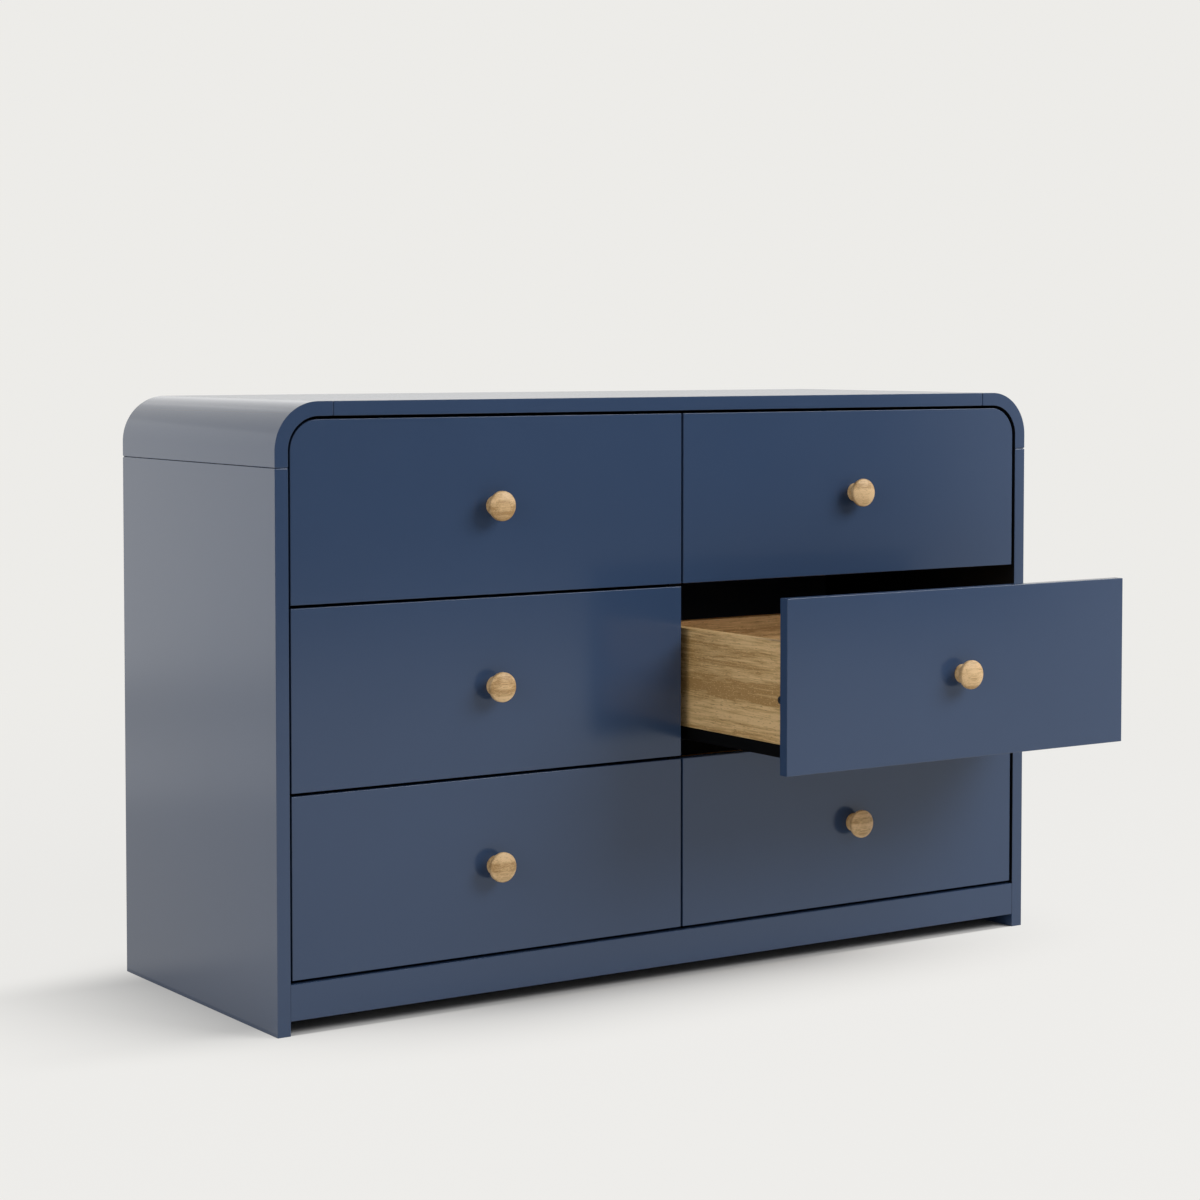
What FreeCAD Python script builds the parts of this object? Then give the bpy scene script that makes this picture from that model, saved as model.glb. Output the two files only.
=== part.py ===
"""Six-drawer chest with a rounded case, as a parametric document in millimetres.

The case stands on z = 0 with its middle over the origin, its front towards -Y and +X to the
right. Five of the drawers are closed and one stands part way out on its runners.
"""
import FreeCAD
import Part
import Sketcher

import os
import re

# Every driving size: the alias of its cell, its value and what it measures.
SIZES = [
    ("case_width", 1200, "case, outside, left to right"),
    ("case_depth", 440, "case, front edge to rear edge"),
    ("case_height", 770, "floor to the upper face of the top"),
    ("panel_thickness", 18, "sides, corner pieces and top"),
    ("corner_radius", 60, "outside radius of the two upper corners"),
    ("corner_leg", 80, "outer face of the case to each end of a corner piece"),
    ("plinth_lift", 18, "floor to the lower edge of the plinth"),
    ("plinth_height", 45, "plinth, lower edge to upper edge"),
    ("plinth_thickness", 18, "plinth, front to rear"),
    ("bottom_thickness", 18, "bottom panel"),
    ("divider_thickness", 18, "centre divider"),
    ("divider_setback", 2, "closed drawer fronts to the front edge of the divider"),
    ("back_thickness", 5, "back panel"),
    ("rebate_width", 8, "width of the rebate that the back panel sits in"),
    ("rebate_play", 0.3, "gap round the back panel in its rebate"),
    ("foot_width", 60, "centre foot, both ways"),
    ("front_thickness", 15, "drawer front"),
    ("front_recess", 2, "case front edges to the faces of the closed drawers"),
    ("front_edge_round", 1, "rounded edges of a drawer face"),
    ("side_gap", 3.5, "drawer front to case side"),
    ("centre_gap", 3.5, "left drawer fronts to right drawer fronts"),
    ("row_gap", 4, "above, between and below the drawer fronts"),
    ("box_height", 131, "drawer sides, lower edge to upper edge"),
    ("rear_room", 68, "rear end of the drawer sides to the back panel"),
    ("box_wall", 15, "thickness of the drawer sides and back"),
    ("box_lift", 36, "lower edge of the front to lower edge of the sides"),
    ("box_clearance", 5, "drawer side to the case side or divider next to it"),
    ("back_drop", 4, "upper edge of the drawer back below that of the sides"),
    ("base_thickness", 6, "drawer bottom"),
    ("base_lift", 10, "lower edge of the sides to the groove for the bottom"),
    ("groove_depth", 6, "groove for the drawer bottom in the sides and front"),
    ("groove_play", 0.3, "gap round the drawer bottom in its grooves"),
    ("shown_pull", 225, "how far the middle right drawer stands out"),
    ("runner_steel", 1.5, "sheet thickness of the runners"),
    ("runner_width", 23, "drawer runner across both legs"),
    ("runner_height", 16.5, "drawer runner, top plate to the ends of its legs"),
    ("runner_play", 0.3, "running gap between the runner members"),
    ("runner_setback", 3, "closed drawer fronts to the front of bars and case runners"),
    ("runner_end", 6, "rear of the drawer sides behind the rear of the runners"),
    ("bar_height", 9, "slide bar, lower face to upper face"),
    ("rail_inset", 2.5, "case runner's rail inside the legs of the drawer runner"),
    ("rail_foot", 2.5, "case runner's underside below the legs of the drawer runner"),
    ("flange_height", 29, "case runner, height of the flange on the wall"),
    ("knob_diameter", 38, "knob at its rim"),
    ("knob_foot_diameter", 25, "knob where it meets the drawer front"),
    ("knob_neck_diameter", 21.5, "knob at its waist"),
    ("knob_neck_height", 7, "drawer front to the waist"),
    ("knob_rim_height", 15.5, "drawer front to the lower edge of the rim"),
    ("knob_face_height", 21.5, "drawer front to the upper edge of the rim"),
    ("knob_projection", 25, "drawer front to the middle of the domed face"),
    ("knob_rim_round", 2, "rounded edges of the rim"),
    ("screw_diameter", 4, "shank of knob screws and back screws"),
    ("screw_head_diameter", 8, "head of knob screws and back screws"),
    ("screw_head_height", 2.5, "head of knob screws and back screws"),
    ("screw_play", 0.2, "gap round shanks, heads and cams in their holes"),
    ("knob_screw_bite", 13, "length of the knob screw inside the knob"),
    ("back_screw_length", 40, "screw through a drawer side into the drawer back"),
    ("back_screw_inset", 28, "back screws to the edges of the drawer back"),
    ("cam_diameter", 10, "cam in a drawer side"),
    ("cam_depth", 11, "cam, along its turning axis"),
    ("cam_setback", 16, "drawer front's rear face to the axis of the cam"),
    ("cam_height", 57, "lower edge of a drawer side to the axis of the cam"),
    ("cam_bolt_diameter", 5, "bolt from the cam into the drawer front"),
    ("cam_bolt_bite", 10, "length of that bolt inside the drawer front"),
    ("dowel_diameter", 8, "case dowels"),
    ("dowel_length", 30, "case dowels"),
    ("dowel_play", 0.2, "gap round a dowel and at its ends"),
    ("dowel_skin", 6, "wood left behind a dowel that enters a face"),
    ("dowel_inset", 45, "outermost dowels to the edges of the case"),
    ("plinth_dowel_inset", 12, "dowels to the upper and lower edge of the plinth"),
    ("foot_dowel_inset", 15, "dowels to the left and right faces of the foot"),
]

ROWS = ("bottom", "middle", "top")
COLUMNS = ("left", "right")
PULLED_DRAWER = ("middle", "right")
ROW_GAPS = len(ROWS) + 1

# Places and sizes that follow from the driving sizes.
FORMULAS = {
    "inner_x": "case_width / 2 - panel_thickness",
    "front_y": "-case_depth / 2",
    "back_y": "case_depth / 2",
    "back_front_y": "back_y - back_thickness",
    "seam_x": "case_width / 2 - corner_leg",
    "seam_z": "case_height - corner_leg",
    "top_under": "case_height - panel_thickness",
    "plinth_top": "plinth_lift + plinth_height",
    "bottom_under": "plinth_top - bottom_thickness",
    "bottom_front_y": "front_y + plinth_thickness",
    "inner_radius": "corner_radius - panel_thickness",
    "rebate_radius": "inner_radius + rebate_width",
    "rebate_x": "inner_x + rebate_width",
    "rebate_top": "top_under + rebate_width",
    "face_y": "front_y + front_recess",
    "box_y": "face_y + front_thickness",
    "front_width": "inner_x - side_gap - centre_gap / 2",
    "front_height": f"(top_under - plinth_top - {ROW_GAPS} * row_gap) / {len(ROWS)}",
    "row_pitch": "front_height + row_gap",
    "divider_x": "divider_thickness / 2",
    "divider_y": "box_y + divider_setback",
    "box_width": "inner_x - divider_x - 2 * box_clearance",
    "box_length": "back_front_y - rear_room - box_y",
    "runner_length": "box_length - runner_end",
    "bar_length": "runner_length - runner_setback",
    "bar_inset": "runner_steel + runner_play",
    "dowel_bite": "panel_thickness - dowel_skin",
}

# Turns the upright axis of a cylinder or cone into each direction.
TURNS = {
    "+x": FreeCAD.Rotation(FreeCAD.Vector(0, 1, 0), 90),
    "-x": FreeCAD.Rotation(FreeCAD.Vector(0, 1, 0), -90),
    "+y": FreeCAD.Rotation(FreeCAD.Vector(1, 0, 0), -90),
    "-y": FreeCAD.Rotation(FreeCAD.Vector(1, 0, 0), 90),
    "+z": FreeCAD.Rotation(),
}

EDGE_TOLERANCE = 1e-4
ROUGH_SIDE = 100  # side of a board's first sketched square, before its dimensions are set

doc = FreeCAD.newDocument("Chest")
sheet = doc.addObject("Spreadsheet::Sheet", "Sizes")
for row, (alias, value, meaning) in enumerate(SIZES, start=1):
    sheet.set(f"A{row}", alias)
    sheet.set(f"B{row}", str(value))
    sheet.set(f"C{row}", meaning)
    sheet.setAlias(f"B{row}", alias)
doc.recompute()

ALIASES = {alias for alias, value, meaning in SIZES}
sub_parts = []


def formula(text):
    """Spell out every named place in text, down to cells of the sheet."""

    def spell(match):
        word = match.group()
        if word in FORMULAS:
            return f"({formula(FORMULAS[word])})"
        if word in ALIASES:
            return f"Sizes.{word}"
        raise KeyError(f"{word} is no size")

    return re.sub(r"[a-z_]+", spell, text)


def bind(item, name, text):
    """Tie one property of an object to a formula."""
    item.setExpression(name, formula(text))


def place(item, x, y, z):
    """Tie the place of an object to three formulas."""
    bind(item, "Placement.Base.x", x)
    bind(item, "Placement.Base.y", y)
    bind(item, "Placement.Base.z", z)


def keep(item, label):
    """Make an object a sub-part with its own name."""
    item.Label = label
    sub_parts.append(item)
    return item


def box(name, x, y, z):
    """A block, each of its three spans given as a start and a size."""
    block = doc.addObject("Part::Box", name)
    bind(block, "Length", x[1])
    bind(block, "Width", y[1])
    bind(block, "Height", z[1])
    place(block, x[0], y[0], z[0])
    return block


def rod(name, diameter, length, start, direction):
    """A round rod from a start point along one of the axes."""
    cylinder = doc.addObject("Part::Cylinder", name)
    cylinder.Placement = FreeCAD.Placement(FreeCAD.Vector(), TURNS[direction])
    bind(cylinder, "Radius", f"({diameter}) / 2")
    bind(cylinder, "Height", length)
    place(cylinder, *start)
    return cylinder


def countersunk_head(name, play, start, direction):
    """The cone of a screw head, from its flat face inwards."""
    cone = doc.addObject("Part::Cone", name)
    cone.Placement = FreeCAD.Placement(FreeCAD.Vector(), TURNS[direction])
    bind(cone, "Radius1", f"screw_head_diameter / 2 + {play}")
    bind(cone, "Radius2", f"screw_diameter / 2 + {play}")
    bind(cone, "Height", "screw_head_height")
    place(cone, *start)
    return cone


def join(name, *items):
    """One solid out of several that touch or overlap."""
    fused = doc.addObject("Part::MultiFuse", name)
    fused.Shapes = list(items)
    fused.Refine = True
    return fused


def group(name, items):
    """Several separate solids as one object."""
    compound = doc.addObject("Part::Compound", name)
    compound.Links = list(items)
    return compound


def cut(name, base, tools):
    """A solid with other solids taken out of it."""
    result = doc.addObject("Part::Cut", name)
    result.Base = base
    result.Tool = tools[0] if len(tools) == 1 else group(name + "Cuts", tools)
    return result


def new_sketch(body, role, name):
    """A sketch on one of a body's own origin planes."""
    sketch = body.newObject("Sketcher::SketchObject", name)
    planes = [plane for plane in body.Origin.OriginFeatures if plane.Role == role]
    sketch.AttachmentSupport = [(planes[0], "")]
    sketch.MapMode = "FlatFace"
    return sketch


def line_chain(sketch, points):
    """Straight lines from point to point, joined at their ends."""
    for start, end in zip(points, points[1:]):
        line = Part.LineSegment(FreeCAD.Vector(*start, 0), FreeCAD.Vector(*end, 0))
        index = sketch.addGeometry(line, False)
        if index:
            sketch.addConstraint(Sketcher.Constraint("Coincident", index - 1, 2, index, 1))


def dimension(sketch, direction, point, name, text):
    """Tie a point's distance from the sketch's origin to a formula."""
    index = sketch.addConstraint(Sketcher.Constraint(direction, -1, 1, *point, 1))
    sketch.renameConstraint(index, name)
    bind(sketch, f"Constraints.{name}", text)


def round_edges(body, base, name, radius, wanted):
    """Round those edges of a feature that a test on their bounding box picks."""
    doc.recompute()
    edges = enumerate(base.Shape.Edges, start=1)
    picked = [f"Edge{number}" for number, edge in edges if wanted(edge.BoundBox)]
    fillet = body.newObject("PartDesign::Fillet", name)
    fillet.Base = (base, picked)
    bind(fillet, "Radius", radius)
    return fillet


def slab(name, width, height, thickness, rounds, edge_round=None):
    """An upright board from its lower left front corner, with rounded upper corners.

    rounds gives the radius of the "left" and "right" upper corner where there is one.
    """
    body = doc.addObject("PartDesign::Body", name)
    sketch = new_sketch(body, "XZ_Plane", name + "Outline")
    line_chain(sketch, [(0, 0), (ROUGH_SIDE, 0), (ROUGH_SIDE, ROUGH_SIDE), (0, ROUGH_SIDE), (0, 0)])
    sketch.addConstraint(Sketcher.Constraint("Coincident", 3, 2, 0, 1))
    sketch.addConstraint(Sketcher.Constraint("Coincident", 0, 1, -1, 1))
    for index, kind in enumerate(("Horizontal", "Vertical", "Horizontal", "Vertical")):
        sketch.addConstraint(Sketcher.Constraint(kind, index))
    dimension(sketch, "DistanceX", (0, 2), "width", width)
    dimension(sketch, "DistanceY", (2, 2), "height", height)
    feature = body.newObject("PartDesign::Pad", name + "Board")
    feature.Profile = sketch
    feature.Reversed = True
    bind(feature, "Length", thickness)
    doc.recompute()
    outline = feature.Shape.BoundBox
    for side, radius in rounds.items():
        corner_x = outline.XMin if side == "left" else outline.XMax

        def at_corner(edge_box, corner_x=corner_x):
            on_side = abs(edge_box.Center.x - corner_x) < EDGE_TOLERANCE
            on_top = abs(edge_box.Center.z - outline.ZMax) < EDGE_TOLERANCE
            return on_side and on_top

        feature = round_edges(body, feature, name + side.title() + "Round", radius, at_corner)
    if edge_round:
        round_edges(body, feature, name + "FaceRound", edge_round,
                    lambda edge_box: edge_box.YMax < EDGE_TOLERANCE)
    return body


def mirrored(name, item):
    """The same object on the other side of the case."""
    copy = doc.addObject("Part::Mirroring", name)
    copy.Source = item
    copy.Base = FreeCAD.Vector(0, 0, 0)
    copy.Normal = FreeCAD.Vector(1, 0, 0)
    return copy


def spread(first, last, count):
    """Formulas for evenly spaced places from first to last."""
    steps = count - 1
    return [f"({first}) + {step} * (({last}) - ({first})) / {steps}" for step in range(count)]


def make_dowels():
    """Dowels for each joint of the case, and the holes that they sit in."""
    dowels = []
    holes = {}

    def drill(joint, start, direction):
        axis = "xyz".index(direction[1])
        hole_start = list(start)
        hole_start[axis] = f"{start[axis]} - dowel_play"
        name = joint.title().replace("_", "") + "Dowel"
        dowels.append(rod(name, "dowel_diameter", "dowel_length", start, direction))
        hole = rod(name + "Hole", "dowel_diameter + 2 * dowel_play",
                   "dowel_length + 2 * dowel_play", hole_start, direction)
        holes.setdefault(joint, []).append(hole)

    case_y = spread("front_y + dowel_inset", "back_y - dowel_inset", 4)
    bottom_y = spread("bottom_front_y + dowel_inset", "back_front_y - dowel_inset", 3)
    divider_y = spread("divider_y + dowel_inset", "back_front_y - dowel_inset", 3)
    plinth_x = spread("-inner_x + dowel_inset", "inner_x - dowel_inset", 4)
    edge_middle = "(case_width - panel_thickness) / 2"
    bottom_middle = "plinth_top - bottom_thickness / 2"
    plinth_middle = "front_y + plinth_thickness / 2"
    sides = {
        "left": ("-", "-seam_x - dowel_length / 2", "-inner_x - dowel_bite"),
        "right": ("", "seam_x - dowel_length / 2", "inner_x + dowel_bite - dowel_length"),
    }
    for side, (sign, seam_start, face_start) in sides.items():
        for y in case_y:
            drill(f"{side}_side_seam", (sign + edge_middle, y, "seam_z - dowel_length / 2"), "+z")
            drill(f"{side}_top_seam", (seam_start, y, "case_height - panel_thickness / 2"), "+x")
        for y in bottom_y:
            drill(f"{side}_bottom", (face_start, y, bottom_middle), "+x")
        for z in ("plinth_lift + plinth_dowel_inset", "plinth_top - plinth_dowel_inset"):
            drill(f"{side}_plinth", (face_start, plinth_middle, z), "+x")
    for y in divider_y:
        drill("divider_foot", ("0", y, "bottom_under + dowel_skin"), "+z")
        drill("divider_head", ("0", y, "case_height - dowel_skin - dowel_length"), "+z")
    for x in plinth_x:
        drill("plinth_bottom", (x, "front_y + dowel_skin", bottom_middle), "+y")
    foot_dowel_x = "foot_width / 2 - foot_dowel_inset"
    for x in (f"-({foot_dowel_x})", foot_dowel_x):
        drill("foot", (x, "0", "plinth_top - dowel_skin - dowel_length"), "+z")
    return dowels, holes


def make_case():
    """The case: shell of five pieces, bottom, divider, plinth, foot and back."""
    dowels, holes = make_dowels()
    full_depth = ("front_y", "case_depth")
    rebate = slab("Rebate", "2 * rebate_x", "rebate_top - plinth_lift", "back_thickness + rebate_width",
                  {"left": "rebate_radius", "right": "rebate_radius"})
    place(rebate, "-rebate_x", "back_front_y", "plinth_lift")

    left_board = box("LeftBoard", ("-case_width / 2", "panel_thickness"), full_depth, ("0", "seam_z"))
    right_board = box("RightBoard", ("inner_x", "panel_thickness"), full_depth, ("0", "seam_z"))
    for side, board in (("left", left_board), ("right", right_board)):
        tools = holes[f"{side}_side_seam"] + holes[f"{side}_bottom"] + holes[f"{side}_plinth"]
        keep(cut(f"{side.title()}Side", board, [rebate] + tools), f"{side}_side")

    outer = slab("CornerOutside", "corner_leg", "corner_leg", "case_depth", {"left": "corner_radius"})
    place(outer, "-case_width / 2", "front_y", "seam_z")
    inner = slab("CornerInside", "corner_leg", "corner_leg - panel_thickness", "case_depth",
                 {"left": "inner_radius"})
    place(inner, "-inner_x", "front_y", "seam_z")
    bend = cut("CornerBend", outer, [inner])
    for side, piece in (("left", bend), ("right", mirrored("CornerBendRight", bend))):
        tools = holes[f"{side}_side_seam"] + holes[f"{side}_top_seam"]
        keep(cut(f"{side.title()}Corner", piece, [rebate] + tools), f"{side}_corner")

    top_board = box("TopBoard", ("-seam_x", "2 * seam_x"), full_depth, ("top_under", "panel_thickness"))
    top_holes = holes["left_top_seam"] + holes["right_top_seam"] + holes["divider_head"]
    keep(cut("TopPanel", top_board, [rebate] + top_holes), "top_panel")

    bottom_board = box("BottomBoard", ("-inner_x", "2 * inner_x"),
                       ("bottom_front_y", "back_front_y - bottom_front_y"),
                       ("bottom_under", "bottom_thickness"))
    bottom_holes = (holes["left_bottom"] + holes["right_bottom"] + holes["divider_foot"]
                    + holes["plinth_bottom"] + holes["foot"])
    keep(cut("BottomPanel", bottom_board, bottom_holes), "bottom_panel")

    plinth_board = box("PlinthBoard", ("-inner_x", "2 * inner_x"), ("front_y", "plinth_thickness"),
                       ("plinth_lift", "plinth_height"))
    plinth_holes = holes["left_plinth"] + holes["right_plinth"] + holes["plinth_bottom"]
    keep(cut("Plinth", plinth_board, plinth_holes), "plinth")

    divider_board = box("DividerBoard", ("-divider_x", "divider_thickness"),
                        ("divider_y", "back_front_y - divider_y"), ("plinth_top", "top_under - plinth_top"))
    keep(cut("CentreDivider", divider_board, holes["divider_foot"] + holes["divider_head"]),
         "centre_divider")

    foot_block = box("FootBlock", ("-foot_width / 2", "foot_width"), ("-foot_width / 2", "foot_width"),
                     ("0", "bottom_under"))
    keep(cut("CentreFoot", foot_block, holes["foot"]), "centre_foot")

    back = slab("BackPanel", "2 * (rebate_x - rebate_play)", "rebate_top - rebate_play - plinth_lift",
                "back_thickness", {"left": "rebate_radius - rebate_play",
                                   "right": "rebate_radius - rebate_play"})
    place(back, "-(rebate_x - rebate_play)", "back_front_y", "plinth_lift")
    keep(back, "back_panel")
    keep(group("CaseDowels", dowels), "case_dowels")


class Wall:
    """A face of the case that carries a runner, and the way from it into the drawer space."""

    def __init__(self, name, face_x, inward):
        self.name = name
        self.face_x = face_x
        self.inward = inward

    def span(self, distance, width):
        """Start and size along x of a piece that begins at a distance from the wall."""
        if self.inward > 0:
            return (f"{self.face_x} + ({distance})", width)
        return (f"{self.face_x} - ({distance}) - ({width})", width)

    def point(self, distance):
        """Place along x at a distance from the wall."""
        return f"{self.face_x} {'+' if self.inward > 0 else '-'} ({distance})"


class Drawer:
    """Names, places and pull of one drawer."""

    def __init__(self, row, column):
        self.row = row
        self.column = column
        self.name = f"{row}_{column}"
        self.key = row.title() + column.title()
        self.pull = "shown_pull" if (row, column) == PULLED_DRAWER else "0"
        self.front_z = f"plinth_top + row_gap + {ROWS.index(row)} * row_pitch"
        self.box_z = f"{self.front_z} + box_lift"
        self.face_y = f"face_y - {self.pull}"
        self.box_y = f"box_y - {self.pull}"
        if column == "left":
            self.front_x = "-inner_x + side_gap"
            self.walls = (Wall("Left", "-inner_x", 1), Wall("Right", "-divider_x", -1))
        else:
            self.front_x = "centre_gap / 2"
            self.walls = (Wall("Left", "divider_x", 1), Wall("Right", "inner_x", -1))
        self.box_x = self.walls[0].point("box_clearance")
        self.middle_x = f"{self.front_x} + front_width / 2"
        self.middle_z = f"{self.front_z} + front_height / 2"


def tube(name, x, y, z):
    """A rectangular tube of sheet steel along y."""
    outside = box(name + "Outside", x, y, z)
    bore = box(name + "Bore", (f"{x[0]} + runner_steel", f"{x[1]} - 2 * runner_steel"), y,
               (f"{z[0]} + runner_steel", f"{z[1]} - 2 * runner_steel"))
    return cut(name, outside, [bore])


def make_case_runner(drawer, wall):
    """The fixed member: a flange on the wall, a shelf, and a rail under the slide bar."""
    name = f"{drawer.key}{wall.name}CaseRunner"
    y = ("box_y + runner_setback", "bar_length")
    underside = f"{drawer.box_z} - runner_height - rail_foot"
    rail_start = "box_clearance + runner_steel + rail_inset"
    rail_width = "runner_width - 2 * runner_steel - 2 * rail_inset"
    rail_height = "runner_height + rail_foot - runner_steel - 2 * runner_play - bar_height"
    flange = box(name + "Flange", wall.span("0", "runner_steel"), y, (underside, "flange_height"))
    shelf = box(name + "Shelf", wall.span("0", f"{rail_start} + {rail_width}"), y,
                (underside, "runner_steel"))
    rail = tube(name + "Rail", wall.span(rail_start, rail_width), y, (underside, rail_height))
    return join(name, flange, shelf, rail)


def make_slide_bar(drawer, wall):
    """The middle member: a tube between the case runner's rail and the drawer runner."""
    x = wall.span("box_clearance + bar_inset", "runner_width - 2 * bar_inset")
    y = (f"box_y + runner_setback - ({drawer.pull}) / 2", "bar_length")
    z = (f"{drawer.box_z} - runner_steel - runner_play - bar_height", "bar_height")
    return tube(f"{drawer.key}{wall.name}SlideBar", x, y, z)


def make_drawer_runner(drawer, wall):
    """The moving member: a steel channel under a drawer side, open downwards."""
    name = f"{drawer.key}{wall.name}Runner"
    y = (drawer.box_y, "runner_length")
    under = f"{drawer.box_z} - runner_height"
    outside = box(name + "Outside", wall.span("box_clearance", "runner_width"), y,
                  (under, "runner_height"))
    channel = box(name + "Channel",
                  wall.span("box_clearance + runner_steel", "runner_width - 2 * runner_steel"), y,
                  (under, "runner_height - runner_steel"))
    return cut(name, outside, [channel])


def make_knob(drawer):
    """A turned knob: a waisted stem that spreads to a rim with a domed face.

    The points below only start the sketch in about the right shape: its dimensions place them.
    """
    body = doc.addObject("PartDesign::Body", drawer.key + "KnobTurning")
    sketch = new_sketch(body, "XZ_Plane", drawer.key + "KnobProfile")
    line_chain(sketch, [(0, 25), (0, 0), (12, 0), (11, 7), (19, 16), (19, 21)])
    dome = Part.Arc(FreeCAD.Vector(19, 21, 0), FreeCAD.Vector(10, 24, 0), FreeCAD.Vector(0, 25, 0))
    dome_index = sketch.addGeometry(dome, False)
    sketch.addConstraint(Sketcher.Constraint("Coincident", dome_index, 1, dome_index - 1, 2))
    sketch.addConstraint(Sketcher.Constraint("Coincident", dome_index, 2, 0, 1))
    sketch.addConstraint(Sketcher.Constraint("PointOnObject", dome_index, 3, -2))
    sketch.addConstraint(Sketcher.Constraint("Coincident", 0, 2, -1, 1))
    sketch.addConstraint(Sketcher.Constraint("Vertical", 0))
    sketch.addConstraint(Sketcher.Constraint("Horizontal", 1))
    sketch.addConstraint(Sketcher.Constraint("Vertical", 4))
    dimension(sketch, "DistanceY", (0, 1), "projection", "knob_projection")
    dimension(sketch, "DistanceX", (1, 2), "foot", "knob_foot_diameter / 2")
    dimension(sketch, "DistanceX", (2, 2), "neck", "knob_neck_diameter / 2")
    dimension(sketch, "DistanceY", (2, 2), "neck_height", "knob_neck_height")
    dimension(sketch, "DistanceX", (3, 2), "rim", "knob_diameter / 2")
    dimension(sketch, "DistanceY", (3, 2), "rim_height", "knob_rim_height")
    dimension(sketch, "DistanceY", (4, 2), "face_height", "knob_face_height")
    turning = body.newObject("PartDesign::Revolution", drawer.key + "KnobSpin")
    turning.Profile = sketch
    turning.ReferenceAxis = (sketch, ["V_Axis"])
    doc.recompute()
    widest = turning.Shape.BoundBox.XMax

    def on_rim(edge_box):
        flat = edge_box.ZLength < EDGE_TOLERANCE
        return flat and abs(edge_box.XMax - widest) < EDGE_TOLERANCE

    round_edges(body, turning, drawer.key + "KnobRim", "knob_rim_round", on_rim)
    body.Placement = FreeCAD.Placement(FreeCAD.Vector(), TURNS["-y"])
    place(body, drawer.middle_x, drawer.face_y, drawer.middle_z)
    return body


def make_fittings(drawer):
    """Screws, cams and cam bolts of one drawer, and the holes that they sit in."""
    fittings = []
    holes = {"front": [], "knob": [], "sides": [], "back": []}
    hole_size = "screw_diameter + 2 * screw_play"
    shank_length = "front_thickness + knob_screw_bite"
    rear = (drawer.middle_x, drawer.box_y, drawer.middle_z)
    key = drawer.key

    head = rod(key + "KnobScrewHead", "screw_head_diameter", "screw_head_height", rear, "+y")
    shank = rod(key + "KnobScrewShank", "screw_diameter", shank_length, rear, "-y")
    fittings.append(join(key + "KnobScrew", head, shank))
    knob_hole = rod(key + "KnobScrewHole", hole_size, f"{shank_length} + screw_play", rear, "-y")
    holes["front"].append(knob_hole)
    holes["knob"].append(knob_hole)

    cam_y = f"{drawer.box_y} + cam_setback"
    cam_z = f"{drawer.box_z} + cam_height"
    bolt_y = f"{drawer.box_y} - cam_bolt_bite"
    bolt_length = "cam_bolt_bite + cam_setback - cam_diameter / 2 - screw_play"
    back_y = f"{drawer.box_y} + box_length - box_wall / 2"
    back_low = f"{drawer.box_z} + base_lift + base_thickness + back_screw_inset"
    back_high = f"{drawer.box_z} + box_height - back_drop - back_screw_inset"
    for wall in drawer.walls:
        name = key + wall.name
        direction = "+x" if wall.inward > 0 else "-x"
        outer = wall.point("box_clearance")
        cam = rod(name + "Cam", "cam_diameter", "cam_depth", (outer, cam_y, cam_z), direction)
        cam_hole = rod(name + "CamHole", "cam_diameter + 2 * screw_play", "cam_depth + screw_play",
                       (outer, cam_y, cam_z), direction)
        bolt_start = (wall.point("box_clearance + box_wall / 2"), bolt_y, cam_z)
        bolt = rod(name + "CamBolt", "cam_bolt_diameter", bolt_length, bolt_start, "+y")
        bolt_hole = rod(name + "CamBoltHole", "cam_bolt_diameter + 2 * screw_play",
                        "cam_bolt_bite + cam_setback + screw_play",
                        (bolt_start[0], f"{bolt_y} - screw_play", cam_z), "+y")
        fittings += [cam, bolt]
        holes["sides"] += [cam_hole, bolt_hole]
        holes["front"].append(bolt_hole)
        for level, z in (("Low", back_low), ("High", back_high)):
            start = (outer, back_y, z)
            screw = name + level + "BackScrew"
            fittings.append(join(screw, countersunk_head(screw + "Head", "0", start, direction),
                                 rod(screw + "Shank", "screw_diameter", "back_screw_length", start,
                                     direction)))
            screw_hole = join(screw + "Hole",
                              countersunk_head(screw + "Sink", "screw_play", start, direction),
                              rod(screw + "Bore", hole_size, "back_screw_length + screw_play", start,
                                  direction))
            holes["sides"].append(screw_hole)
            holes["back"].append(screw_hole)
    return fittings, holes


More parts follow.
